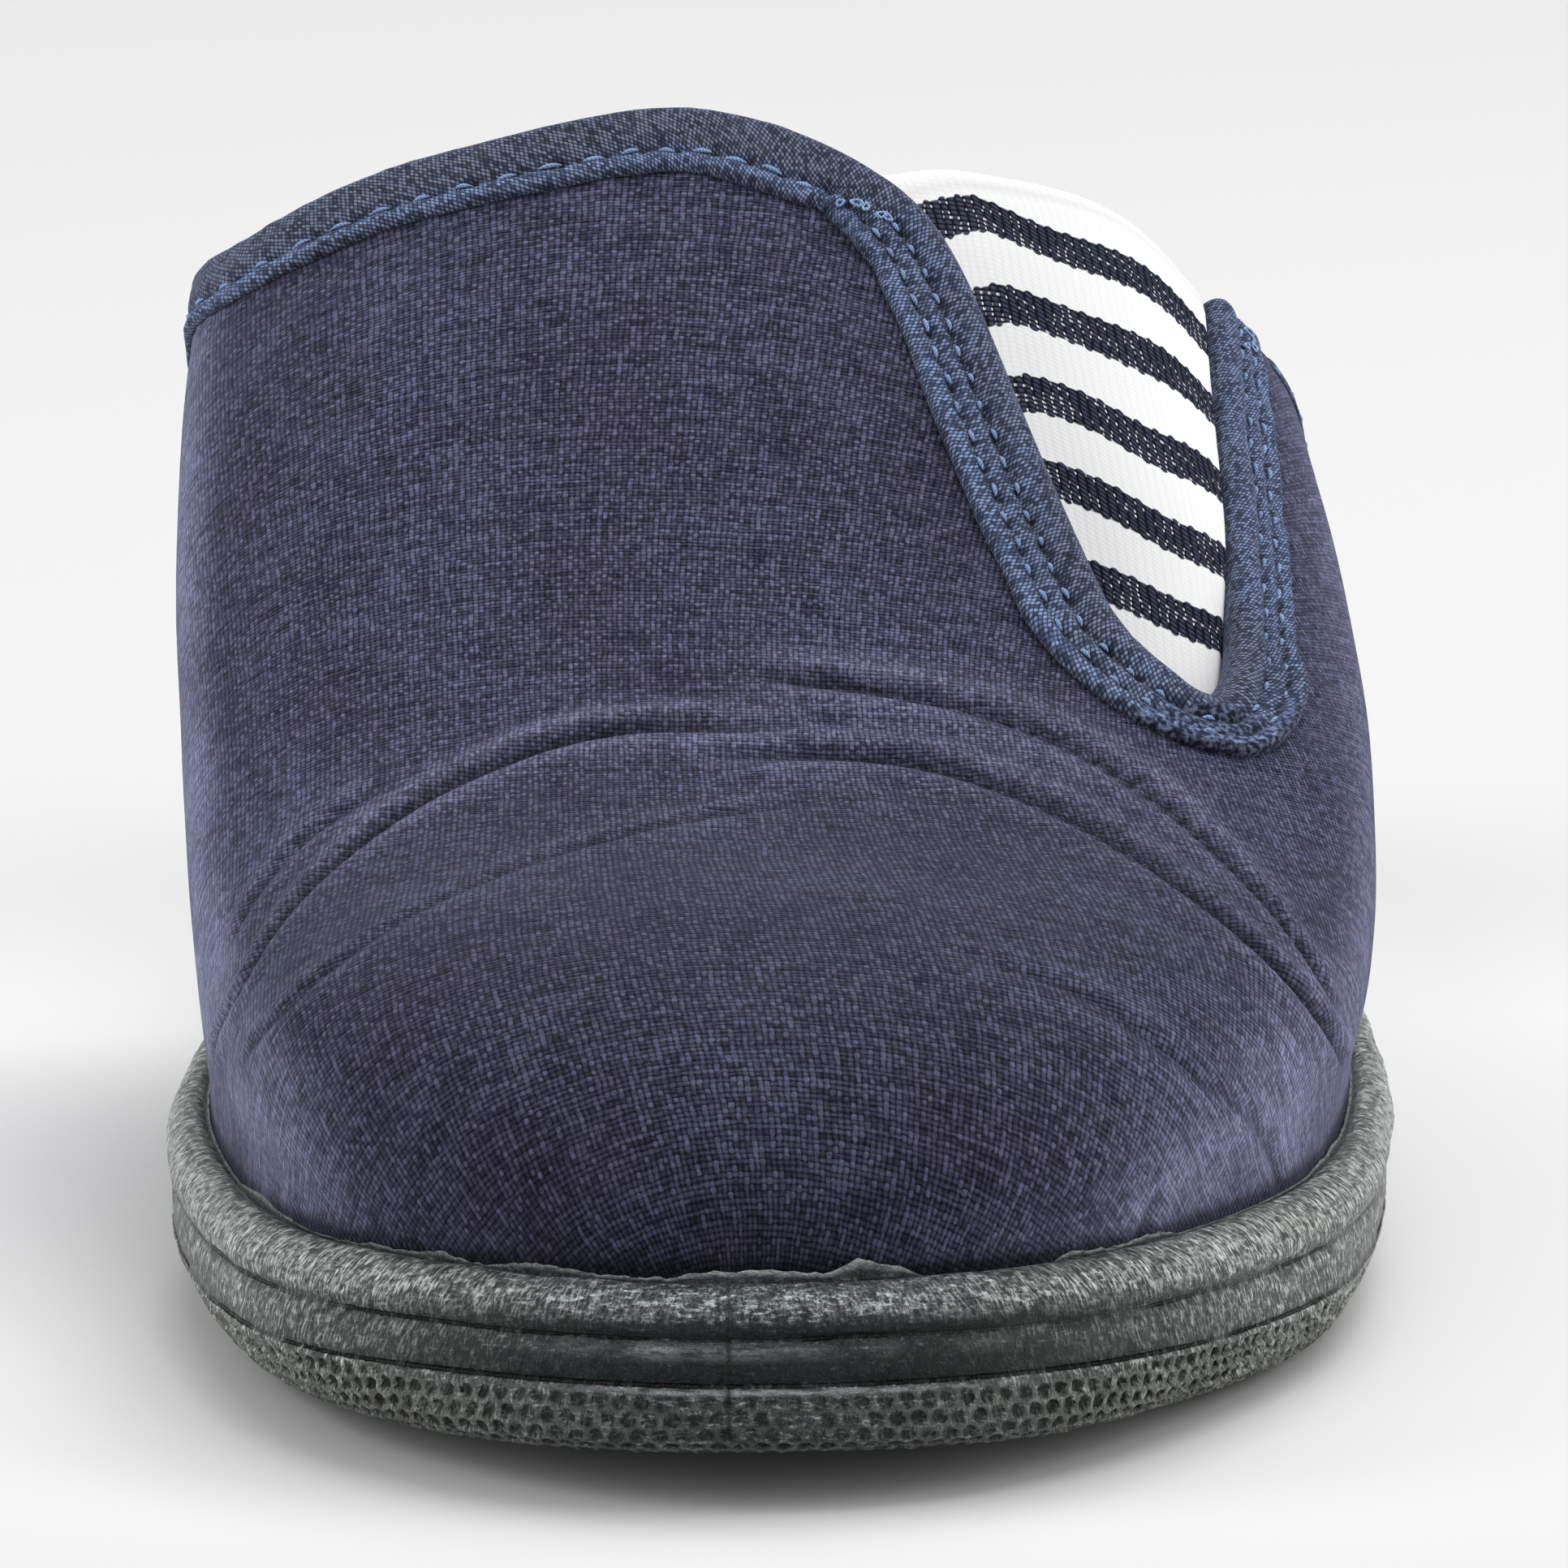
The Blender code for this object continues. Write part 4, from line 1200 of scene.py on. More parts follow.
def canvas():
    front = TOE_ROW + (NOTCH_FOOT - TOE_ROW) * np.linspace(0, 1, FRONT_ROWS) ** 1.4
    opened = NOTCH_FOOT + (1 - NOTCH_FOOT) * np.linspace(0, 1, OPENED_ROWS) ** 1.6
    rows = np.concatenate([front, opened[1:]])
    medial_edge = MEDIAL_EDGE(notch_reach(rows))[:, None]
    lateral_edge = LATERAL_EDGE(notch_reach(rows))[:, None]
    halves = []
    for name, across in (
        ("inner half", -1 + (medial_edge + 1) * np.linspace(0, 1, INNER_COLUMNS)),
        ("outer half", lateral_edge + (1 - lateral_edge) * np.linspace(0, 1, OUTER_COLUMNS)),
    ):
        row = np.repeat(rows[:, None], across.shape[1], axis=1)
        if name == "inner half":
            row, across = round_corner(row, across)
        relief, crease_shade, ridges = canvas_relief(row, across)
        half = new_grid(name, skin_at(row, across, relief))
        sideways = np.abs(skin_frame(row, across)[2][..., 0])
        paint(half, "painted_shade", canvas_shade(row, across, crease_shade))
        paint(half, "side", ease((sideways - 0.6) / 0.35))
        paint(half, "wear_and_painted_light", canvas_wear_and_painted_light(row, across, sideways, crease_shade, ridges))
        halves.append(half)
    piece = join_pieces("canvas", halves)
    join_up(piece, outwards=False)
    ends = []
    for row in (0.12, 0.9):
        away = np.linalg.norm(points_of(piece) - skin(row, np.array(0.0)), axis=1)
        ends.append(np.argsort(away)[:4])
    cut_pattern(piece, "cloth", ends)
    give_wall(piece, UPPER_WALL, lining=1)
    dress(piece, "navy_canvas", (canvas_finish(), lining_finish()), "upper")


# ---- Tape and stitches ----


class Edge:
    """A cut edge of the canvas: evenly spaced stops along it, the ways into the canvas from them, and
    how wide the tape is there as a share of its full width."""

    def __init__(self, row, across):
        length = path_lengths(skin(row, across), 0)
        self.stops = int(length[-1] / STOP_SPACING) + 1
        self.length = np.linspace(0, length[-1], self.stops)
        self.row = np.interp(self.length, length, row)
        self.across = np.interp(self.length, length, across)
        along_row, along_across, normal = skin_frame(self.row, self.across)
        run = np.gradient(skin(self.row, self.across), axis=0)
        self.run = run / np.linalg.norm(run, axis=1, keepdims=True)
        self.normal = normal
        self.inwards = np.cross(self.run, normal)
        slopes = np.stack([along_row, along_across], axis=-1)
        self.steps = (np.linalg.pinv(slopes) @ self.inwards[:, :, None])[:, :, 0]
        self.wide = np.ones(self.stops)

    def beside(self, distance, level):
        """Points at a distance into the canvas and a level over it, for every stop."""
        distance = distance * self.wide
        level = np.where(level > 0, level * self.wide, level)
        into = np.maximum(distance, 0.0)
        row = self.row + into * self.steps[:, 0]
        across = self.across + into * self.steps[:, 1]
        return skin_at(row, across, level) + self.inwards * np.minimum(distance, 0.0)[..., None]

    def line(self, distance, level):
        return self.beside(np.full(self.stops, distance), np.full(self.stops, level))

    def stop_at(self, length):
        return int(np.argmin(np.abs(self.length - length)))


SPANS = np.array([throat_station(0.0) - TOE_FOOT, SIDE_SPAN])  # length of a whole step of row and across


def edge_paths():
    """The canvas's edge along the throat and round the notch, as rows and places across: first with its
    corner sharp, then with it rounded, and the lengths along it from the corner."""
    top = 1 + (TAPE_FOLD + TAPE_THICKNESS + 0.6) / SPANS[0]
    throat = np.linspace(feather_place(-1), NOTCH_MEDIAL[-1], 700)
    down = np.linspace(notch_reach(1.0), 0, 500)[1:]
    up = np.linspace(0, notch_reach(top), 500)[1:]
    row = np.concatenate([np.ones_like(throat), NOTCH_FOOT + down**2, NOTCH_FOOT + up**2])
    across = np.concatenate([throat, MEDIAL_EDGE(down), LATERAL_EDGE(up)])
    length = path_lengths(np.stack([row, across], axis=1) * SPANS, 0)
    even = np.arange(0, length[-1], EDGE_STEP)
    sharp = np.stack([np.interp(even, length, row), np.interp(even, length, across)], axis=1)
    from_corner = even - length[len(throat) - 1]
    beside = 60  # stops each side that are averaged
    reach = np.arange(-beside, beside + 1) * EDGE_STEP
    kernel = np.exp(-((reach / CORNER_ROUNDING) ** 2) / 2)
    kernel /= kernel.sum()
    padded = np.pad(sharp, ((beside, beside), (0, 0)), mode="edge")
    soft = np.stack([np.convolve(column, kernel, "valid") for column in padded.T], axis=1)
    share = ease((ROUNDED_LENGTH - np.abs(from_corner)) / ROUNDED_FADE)[:, None]
    return sharp, sharp + (soft - sharp) * share, from_corner


SHARP_EDGE, ROUND_EDGE, FROM_CORNER = edge_paths()


def round_corner(row, across):
    """Draws the canvas in under the tape where the tape goes round the notch's corner."""
    near = np.abs(FROM_CORNER) < DRAWN_LENGTH
    places = np.stack([row, across], axis=-1)
    gaps = (places[..., None, :] - SHARP_EDGE[near][::3]) * SPANS
    away = np.linalg.norm(gaps, axis=-1)
    pull = (ROUND_EDGE - SHARP_EDGE)[near][::3][away.argmin(-1)]
    moved = places + pull * np.exp(-((away.min(-1) / DRAWN_WIDTH) ** 2))[..., None]
    return moved[..., 0], moved[..., 1]


def tape_section(table):
    """A closed smooth section through the table's places."""
    places = np.array([values[1:] for values in table])
    count = len(places)
    knots = np.arange(-count, 2 * count)
    smooth = [natural_spline(knots, np.tile(column, 3)) for column in places.T]
    stops = np.arange(count * STOPS_ROUND) / STOPS_ROUND
    return [column(stops)[:, None] for column in smooth]


def stitch_holes(along, notched, distance):
    """How deep the stitches pull the tape in, from 0 to about 1; the finish paints the same amount as shade.
    """
    hollow = np.zeros_like(distance)
    for _, on, row_distance, _, pitch, length in STITCH_ROWS:
        if on == "quarter":
            continue
        share = notched if on == "notch" else 1 - notched
        hole = (along - 0.5 * (pitch + length) - 0.25) / pitch
        hole = (hole - np.round(hole)) * pitch
        hollow += share * hill(distance - row_distance, 0.30) * (0.26 + 0.74 * hill(hole, 0.38))
    return hollow


def closed_up(values):
    """A section with its first place again at its end."""
    return np.concatenate([values, values[:1]])


def tape(name, edge, notched, corner, nodes):
    """Folded tape with its stitch grooves. notched runs 0 to 1 where the notch's section takes over, and
    corner is the length along the edge of the notch's corner."""
    plain, notch = tape_section(TOPLINE_TAPE), tape_section(NOTCH_TAPE)
    distance, level, rubbed_and_painted_light = (a + (b - a) * notched for a, b in zip(plain, notch))
    along, to_end = edge.length - corner, edge.length[-1] - edge.length
    outer = level > OUTER_LEVEL
    hollow = stitch_holes(along, notched, distance)
    wander = grain(edge.length / 3.1 + distance * 0.3, distance / 2.0 + 5) - 0.5
    fine = grain(edge.length / 1.1 + 7, distance / 0.9) - 0.5
    cord = hill(distance - 5.8, 0.7)
    foot = edge.length[-1] - corner - NOTCH_TURN
    stand = FOOT_STAND * hill(along - foot, FOOT_LENGTH) * notched * ease((distance - 3.2) / 2.4)
    crimp = hill(along + 2.5, CRIMP_LENGTH) * ease((distance - 2.5) / 2.5)
    uneven = TAPE_WAVES * wander * (1 + cord) + TAPE_RIPPLES * fine - STITCH_PULL * hollow + stand
    level = level + np.where(outer, uneven, 0)
    level = level + np.where(outer, CRIMP_HEIGHT * crimp * np.sin(along * 2.6), 0)
    distance = distance - 0.7 * crimp + np.where(level > -0.2, 0.25 * wander * ease(distance / 2), 0)
    rounding = END_ROUNDING + 0.55 * np.clip(distance, 0, 6)
    end = np.clip(1 - to_end / rounding, 0, 0.999)
    start = np.clip(1 - edge.length / END_ROUNDING, 0, 0.999)
    close = np.sqrt(1 - end**2) * np.sqrt(1 - start**2)
    distance = FOLD_MIDDLE + (distance - FOLD_MIDDLE) * (0.25 + 0.75 * close)
    level = FOLD_LEVEL + (level - FOLD_LEVEL) * close
    points = closed_up(edge.beside(distance, level))
    piece = new_grid(name, points)
    round_fold = path_lengths(points, 0).mean(axis=1, keepdims=True)
    lay_flat(piece, "cloth", *np.broadcast_arrays(edge.length, round_fold))
    stretch = np.gradient(path_lengths(points, 1), axis=1) / np.gradient(edge.length)
    paint(piece, "bend", ease((stretch - 1.25) / 0.5) + ease((0.75 - stretch) / 0.4))
    rubbed_and_painted_light = rubbed_and_painted_light + 0.5 * (grain(edge.length / 4.0, distance / 1.3) - 0.5) * np.clip(rubbed_and_painted_light * 3, 0, 1)
    rubbed_and_painted_light = rubbed_and_painted_light + 0.5 * end**2 + 0.4 * notched * ease((along - foot - 4.0) / 8.0) * outer
    # Painted shade: the border's lower face is darker where it stands off at the notch's foot.
    rubbed_and_painted_light = rubbed_and_painted_light * (1 - 0.8 * ease(stand / 0.5) * ease((distance - 5.2) / 0.5))
    paint(piece, "rubbed_and_painted_light", closed_up(rubbed_and_painted_light).clip(0, 1))
    # Painted shade under the tape's border and in its stitch holes.
    under = ease((0.35 - level) / 0.4) * (distance > 4)
    groove = np.where(outer, hollow, 0) + 0.9 * under
    paint(piece, "hollow", closed_up(groove).clip(0, 1.2))
    join_up(piece, fill=True)
    dress(piece, "twill_tape", (TAPE,), *nodes)


def thread_model(length):
    """A short bent thread that tapers to both ends."""
    from_end = np.linspace(0, math.pi, THREAD_ROWS)[:, None]
    around = np.linspace(0, 2 * math.pi, THREAD_SIDES + 1)
    run = np.cos(from_end) / 2 + 0 * around
    taper = 1 - 0.45 * (2 * np.abs(run)) ** 3
    radius = np.sin(from_end) / 2 * STITCH_THICKNESS * taper
    height = radius * np.sin(around) - STITCH_SAG * run**2
    model = new_grid("thread", np.stack([run * length, radius * np.cos(around), height], axis=-1))
    join_up(model)
    return model


def stitches(name, edge, distance, level, pitch, length, first, last):
    """One row: a thread modelled once and copied to every stitch."""
    model = thread_model(length)
    shape = points_of(model)
    beds = edge.line(distance, level)
    made = []
    for number, middle in enumerate(np.arange(first + pitch / 2, last - pitch / 2, pitch)):
        stop = edge.stop_at(middle)
        run = beds[min(stop + 1, edge.stops - 1)] - beds[max(stop - 1, 0)]
        run /= np.linalg.norm(run)
        up = edge.normal[stop]
        side = np.cross(up, run)
        slant = 0.16 * math.sin(number * 2.4)
        ahead = run * math.cos(slant) + side * math.sin(slant)
        over = np.cross(up, ahead)
        basis = np.stack([ahead, over, np.cross(ahead, over)])
        sized = shape * (1 + 0.18 * math.sin(number * 5.1), 1, 1)
        copy = model.copy()
        copy.data = model.data.copy()
        bpy.context.scene.collection.objects.link(copy)
        place(copy, beds[stop] + side * 0.12 * math.sin(number * 3.3) + sized @ basis)
        made.append(copy)
    bpy.data.objects.remove(model)
    piece = join_pieces(name, made)
    join_up(piece)
    lay_flat(piece, "cloth", np.tile(shape[:, 0], len(made)), np.tile(shape[:, 1], len(made)))
    dress(piece, "twill_tape", (THREAD,))


def thread_knots(name, edge, corner):
    """Back-tacked thread ends: small loose loops, each a short bent cord."""
    starts = {"corner": corner, "tab": edge.length[-1]}
    made = []
    for number, (start, along, distance, level, size, heading) in enumerate(THREAD_ENDS):
        stop = edge.stop_at(starts[start] + along)
        bpy.ops.mesh.primitive_torus_add(
            major_segments=20, minor_segments=7, major_radius=size / METRE, minor_radius=0.12 / METRE
        )
        loop = bpy.context.object
        shape = points_of(loop)
        angle = np.arctan2(shape[:, 1], shape[:, 0])
        shape[:, 2] += 0.25 * size * np.sin(2 * angle + number)
        shape[:, 0] *= 1.5
        run, up = edge.run[stop], edge.normal[stop]
        ahead = run * math.cos(heading) + np.cross(up, run) * math.sin(heading)
        basis = np.stack([ahead, np.cross(up, ahead), up])
        place(loop, edge.line(distance, level)[stop] + shape @ basis)
        made.append(loop)
    piece = join_pieces(name, made)
    join_up(piece)
    drop_maps(piece)
    points = points_of(piece)
    lay_flat(piece, "cloth", points[:, 0], points[:, 2])
    dress(piece, "twill_tape", (THREAD,))


# ---- Elastic panel ----


def down_the_knit(share, open_share):
    """Length of knit down from the first stripe to each place. The stripes lie evenly in it."""
    centres = np.stack([natural_spline(STRIPE_STOPS, heights)(open_share[0]) for _, *heights in STRIPES])
    centres = np.concatenate([centres[:1] + STRIPE_RISE, centres, centres[-1:] - STRIPE_RISE])
    down = np.arange(-1, len(STRIPES) + 1) * STRIPE_PITCH
    lengths = [np.interp(-at, -middles, down) for at, middles in zip(share.T, centres.T)]
    return np.stack(lengths, axis=1)


def elastic_panel():
    share = np.linspace(TOE_ROW, 1, PANEL_ROWS)[:, None] ** 1.2 + np.zeros(PANEL_COLUMNS)
    row = GUSSET_FOOT + (1 - GUSSET_FOOT) * share
    reach = notch_reach(NOTCH_FOOT + (1 - NOTCH_FOOT) * share)
    overlap = GUSSET_OVERLAP / SIDE_SPAN * np.sqrt(np.clip(share / GUSSET_NARROWING, 0, 1))
    opening = LATERAL_EDGE(reach) - MEDIAL_EDGE(reach)
    across = MEDIAL_EDGE(reach) - overlap + (opening + 2 * overlap) * np.linspace(0, 1, PANEL_COLUMNS)
    open_share = np.clip((across - MEDIAL_EDGE(reach)) / opening, 0, 1)
    to_tab = (1 - open_share) * opening * SIDE_SPAN
    crown = PANEL_CROWN * ease(open_share / 0.8) * ease((to_tab - 0.2) / 1.6) * ease(share / 0.5)
    level = crown - (UPPER_WALL + 2.5 * FIT_GAP + TAPE_THICKNESS)
    row = row + natural_spline(*zip(*PANEL_RISE))(open_share) * ease(share)
    hem = hill((1 - share) * PANEL_HEIGHT - 1.5, 0.5)
    edge_roll = hill((1 - share) * PANEL_HEIGHT, 0.7)
    points = skin_at(row, across, level - HEM_DEPTH * hem - EDGE_DEPTH * edge_roll)
    piece = new_grid("elastic_panel", points)
    width = path_lengths(points, 1)
    middle = PANEL_COLUMNS // 2
    down = down_the_knit(share, open_share)
    from_stripe = down - np.clip(np.round(down / STRIPE_PITCH), 0, len(STRIPES) - 1) * STRIPE_PITCH
    lay_flat(piece, "knit", width - width[:, middle : middle + 1], -down)
    paint(piece, "stripe", np.abs(from_stripe) / STRIPE_HALF)
    paint(piece, "stripe_low", np.clip(0.5 + from_stripe / STRIPE_HALF / 2, 0, 1))
    paint(piece, "top_hem", np.clip(hem, 0, 1))
    join_up(piece, outwards=False)
    give_wall(piece, GUSSET_THICKNESS)
    dress(piece, "striped_elastic", (elastic_finish(),), "elastic_gusset")


# ---- Footbed ----


def footbed():
    in_upper = RIM_WIDTH + 4 * FIT_GAP + UPPER_WALL
    in_rim = RIM_WIDTH + FIT_GAP
    turn = full_turn(FOOTBED_COLUMNS)
    _, station = outline(turn)
    widened = ease((station - FEATHER_STATION - INSOLE_EDGE) / INSOLE_WIDENING)
    inset = in_upper + (in_rim - in_upper) * widened
    rows = [(share, FIT_GAP, 0.0) for share in np.linspace(0, 1, 12)]
    rows += [(1.0, height, tuck) for height, tuck in FOOTBED_EDGE]
    rows += [(share, FOOTBED_TOP, TOP_INSET) for share in np.linspace(0.95, 0, 24)]
    points = []
    for share, height, tuck in rows:
        x, station = outline(turn, inset + tuck)
        height = height + bed(station)
        if tuck == TOP_INSET:
            height += FOOTBED_CROWN * (1 - share**2)
            height -= HEEL_DENT * hill(share, 0.6) * hill(station - HEEL_STATION, HEEL_LENGTH)
        points.append(to_points(narrowed(x, share), station, height))
    points = np.stack(points)
    piece = new_grid("footbed", points)
    lay_flat(piece, "cloth", points[..., 0], points[..., 1])
    join_up(piece)
    dress(piece, "insole_cloth", (footbed_finish(),), "insole")


# ---- Rubber ----


def side_rows():
    """Place on the profile, share of height and inset for each row up the sole's side, without grooves."""
    plain = [(inset, share) for name, inset, share in SOLE_SIDE if "groove" not in name]
    knots = np.arange(len(plain))
    fine = np.linspace(0, 1, 800)
    along_knots = np.linspace(0, knots[-1], 800)
    stops = np.concatenate([np.linspace(*part)[:-1] for part in SIDE_ROWS] + [[1.0]])
    curves = (natural_spline(knots, column)(along_knots) for column in zip(*plain))
    inset, share = (np.interp(stops, fine, curve) for curve in curves)
    return stops[:, None], share[:, None], inset[:, None]


def dimples(along, up):
    """Honeycomb of small bowls: 1 at the bottom of each, 0 between them."""
    nearest = np.full_like(up, 9.0)
    for odd in (0, 1):
        over = along / DIMPLE_PITCH - odd / 2
        rise = (up - FIRST_DIMPLES) / (2 * DIMPLE_ROW) - odd / 2
        over = (over - np.round(over)) * DIMPLE_PITCH
        rise = (rise - np.round(rise)) * 2 * DIMPLE_ROW
        nearest = np.minimum(nearest, np.hypot(over, rise))
    return 1 - ease((nearest - 0.30) / 0.55)


def length_up_to(height_share, share, up):
    """Length up the side to a share of its height, at each column."""
    return np.array([np.interp(height_share, share[:, 0], column) for column in up.T])


def groove_marks(share, along, up):
    """For each place of the side: its distance to the nearer groove, how deep that groove is there, and
    how strong the painted highlight is on the edge below a groove."""
    to_groove = np.full_like(up, 9.0)
    cut = np.zeros_like(up)
    painted_edge_highlight = np.zeros_like(up)
    for number, groove in enumerate(GROOVES):
        level = length_up_to(groove, share, up) + 0.25 * (grain(along[0] / 12.0, number * 5.0) - 0.5)
        here = np.abs(up - level)
        wobble = 0.2 * (grain(along / 3.0, 11.0 + number) - 0.5)
        # Painted highlight on the edge just below the groove.
        painted_edge_highlight += hill(level - up - 0.50 + wobble, 0.24) * (0.15 + 0.85 * hill(along + 3.0, 17.0))
        strength = 0.35 + 0.65 * ease((grain(along / 8.0, 3.0 + 5 * number) - 0.28) / 0.3)
        strength *= 1 - (0.25 + 0.25 * number) * ease((np.abs(along) - 45) / 40)
        cut = np.where(here < to_groove, strength, cut)
        to_groove = np.minimum(to_groove, here)
    return to_groove, cut, np.clip(painted_edge_highlight, 0, 1)


def honeycomb(share, along, up):
    """Lengths over the lower band that the dimples are laid out in, and how deep they are, up to 1."""
    across_band = along + 0.38 * up * np.tanh(along / 26.0) + 0.5 * (grain(along / 7.0, up / 2.2) - 0.5)
    up_band = up + 0.5 * (grain(along / 6.0 + 9, up / 3.0) - 0.5)
    room = length_up_to(GROOVES[0], share, up) - up
    strength = ease((room - 0.35) / 1.0) * (share < GROOVES[0])
    front = hill(along + 1.0, 24.0) * ease((up - 1.0) / 2.0)
    patches = 0.75 + 0.5 * (grain(along / 4.0 + 5, up / 2.0) - 0.2)
    return across_band, up_band, np.clip(strength * (1 - 0.7 * front) * patches, 0, 1)


def side_relief(share, along, up):
    """How far the side stands off its plain profile: lumps, dimples, the mould's seam and the grooves."""
    to_groove, cut, _ = groove_marks(share, along, up)
    across_band, up_band, strength = honeycomb(share, along, up)
    lumps = LUMPS[0] * (grain(along / 1.6, up / 1.6) - 0.5)
    lumps = lumps + LUMPS[1] * (grain(along / 6.0, up / 4.0 + 9) - 0.5)
    seam = hill(along + 0.4, 0.26) * (share > 0.12) * (share < 0.97)
    deep = DIMPLE_DEPTH * (1 + DEEPER_BESIDE * ease((np.abs(along) - 30) / 40))
    relief = lumps - deep * dimples(across_band, up_band) * strength + SEAM_HEIGHT * seam
    return relief - GROOVE_DEPTH * hill(to_groove, 0.28) * cut


def outward_normals(side):
    normal = np.cross(np.gradient(side, axis=1), np.gradient(side, axis=0))
    normal /= np.maximum(np.linalg.norm(normal, axis=-1, keepdims=True), 1e-9)
    return normal * np.sign(((side[..., 0] - SIDE_SHIFT) * normal[..., 0]).sum())


def rubber_paleness_and_painted_light(share, along, up):
    """How pale the rubber is painted, painted light and shade included: from the toe's column of the table
    to the one of the sides.
    """
    shares, toe, sides = zip(*RUBBER_PALENESS_AND_PAINTED_LIGHT)
    toe, sides = np.interp(share, shares, toe), np.interp(share, shares, sides)
    paleness_and_painted_light = toe + (sides - toe) * ease((np.abs(along + 4) - 12) / 48)
    return paleness_and_painted_light * (0.8 + 0.4 * grain(along / 5.0, up / 2.0 + 3))


def tread_rows(turn, tuck):
    """Rows of points under the sole, from its middle line out to the side's foot."""
    x, station = outline(turn, SOLE_SIDE[0][1] + tuck)
    height = floor_side(station)
    spreads = np.linspace(0, 0.97, TREAD_ROWS)
    return np.stack([to_points(narrowed(x, spread), station, height) for spread in spreads])


def inside_rows(turn):
    """Rows of points down the rim's inner face and over the bed to its middle line."""
    rows = []
    for drop, wall in ((0.1, -0.05), (1.0, 0.0)):
        x, station = outline(turn, RIM_WIDTH + wall)
        rows.append(to_points(x, station, rim(station) - 0.2 - drop * (RIM_HEIGHT - 0.2)))
    x, station = outline(turn, RIM_WIDTH)
    for spread in (0.5, 0.0):
        rows.append(to_points(narrowed(x, spread), station, bed(station)))
    return np.stack(rows)


def rubber_sole():
    even = full_turn(SIDE_COLUMNS)
    turn = even + COLUMN_SPREAD * np.sin(2 * even)
    stops, share, inset = side_rows()
    _, around = around_rim(turn)
    away = np.abs(around)
    tuck = np.where(around > 0, *TUCK_UNDER) * ease((away - 14) / 36) * ease((190 - away) / 60)
    x, station = outline(turn[None, :], inset + tuck * np.clip(1 - share / GROOVES[0], 0, 1) ** 1.2)
    height = floor_side(station) + share * (rim(station) - floor_side(station))
    side = to_points(x, station, height)
    along, up = around + 0 * height, path_lengths(side, 0)
    relief = side_relief(share, along, up) * (stops <= 0.97)
    side = side + outward_normals(side) * relief[..., None]
    tread, inside = tread_rows(turn, tuck), inside_rows(turn)
    piece = new_grid("rubber_sole", np.concatenate([tread, side, inside]))

    def all_rows(under, beside, within):
        """One value for each vertex: of the tread, of the side and inside the rim."""
        return np.concatenate([under + 0 * tread[..., 0], beside, within + 0 * inside[..., 0]])

    lean = 0.75 * np.tanh(along / 40.0)
    lay_flat(
        piece, "brushed",
        all_rows(tread[..., 0], along + lean * up, inside[..., 0] + inside[..., 1]),
        all_rows(tread[..., 1], up + 20.0, inside[..., 2]),
    )
    across_band, up_band, strength = honeycomb(share, along, up)
    lay_flat(
        piece, "honeycomb", all_rows(tread[..., 0], across_band, 0), all_rows(tread[..., 1], up_band, 0)
    )
    to_groove, cut, painted_edge_highlight = groove_marks(share, along, up)
    for name, elsewhere, amount in (
        ("paleness_and_painted_light", 0.3, rubber_paleness_and_painted_light(share, along, up)),
        ("dimples", 0, strength),
        ("to_groove", 9, to_groove),
        ("groove", 0, cut),
        ("painted_edge_highlight", 0, painted_edge_highlight),
        ("seam", 0, hill(along, 0.16) * (share > 0.1)),
    ):
        paint(piece, name, all_rows(elsewhere, amount, elsewhere))
    paint(piece, "front", all_rows(0, 0.3 + 0.6 * hill(along + 2, 26), 0))
    piece.data.materials.append(rubber_finish())
    piece.data.materials.append(tread_finish())
    slots = np.zeros(len(piece.data.polygons), np.int32)
    slots[: SIDE_COLUMNS * TREAD_ROWS] = 1
    piece.data.polygons.foreach_set("material_index", slots)
    join_up(piece)
    dress(piece, "sole_rubber", (), "outsole")


def mould_flash():
    """A thin ragged lip of rubber that crept up the canvas from the rim's inner edge."""
    turn = full_turn(FLASH_COLUMNS)
    edge, along = around_rim(turn)
    ragged = grain(edge / 4.5, 1.0) * 0.7 + grain(edge / 1.7, 4.0) * 0.3
    ragged += 0.35 * (grain(edge / 0.6, 2.0) - 0.5)
    patches = ease((grain(edge / 15.0, 7.0) - 0.42) / 0.2)
    _, station = outline(turn)
    in_upper = ease((FEATHER_STATION - station) / 6.0)
    lip = ease((along - LIP_START) / 3.0) * ease((LIP_END - along) / 3.0) * (0.70 + 0.6 * ragged)
    lip += (0.5 + 0.7 * ragged) * hill(along - LIP_PEAK, 1.6)
    tall = 0.08 + np.maximum((0.15 + 0.75 * ragged) * patches * in_upper, 0.9 * lip)
    rows = []
    for share, out, _ in FLASH_SECTION:
        x, station = outline(turn, RIM_WIDTH + 0.1 - out)
        rows.append(to_points(x, station, rim(station) - 0.25 + share * tall))
    points = closed_up(np.stack(rows))
    piece = new_grid("mould_flash", points)
    flat = np.broadcast_arrays(edge, path_lengths(points, 0))
    lay_flat(piece, "brushed", *flat)
    lay_flat(piece, "honeycomb", *flat)
    blank = np.zeros(points.shape[:2])
    for name, amount in FLASH_FINISH:
        paint(piece, name, blank + amount)
    paint(piece, "painted_edge_highlight", blank + closed_up(np.array([[wear_and_painted_light] for _, _, wear_and_painted_light in FLASH_SECTION])))
    join_up(piece)
    dress(piece, "sole_rubber", (bpy.data.materials["sole rubber"],))


# ---- Studio ----


def area_light(name, spot, aim, size, power):
    light = bpy.data.lights.new(name, "AREA")
    light.shape = "RECTANGLE"
    light.size, light.size_y = size
    light.energy = power
    lamp = bpy.data.objects.new(name, light)
    lamp.location = spot
    lamp.rotation_euler = (Vector(aim) - Vector(spot)).to_track_quat("-Z", "Y").to_euler()
    lamp.visible_camera = False
    bpy.context.scene.collection.objects.link(lamp)


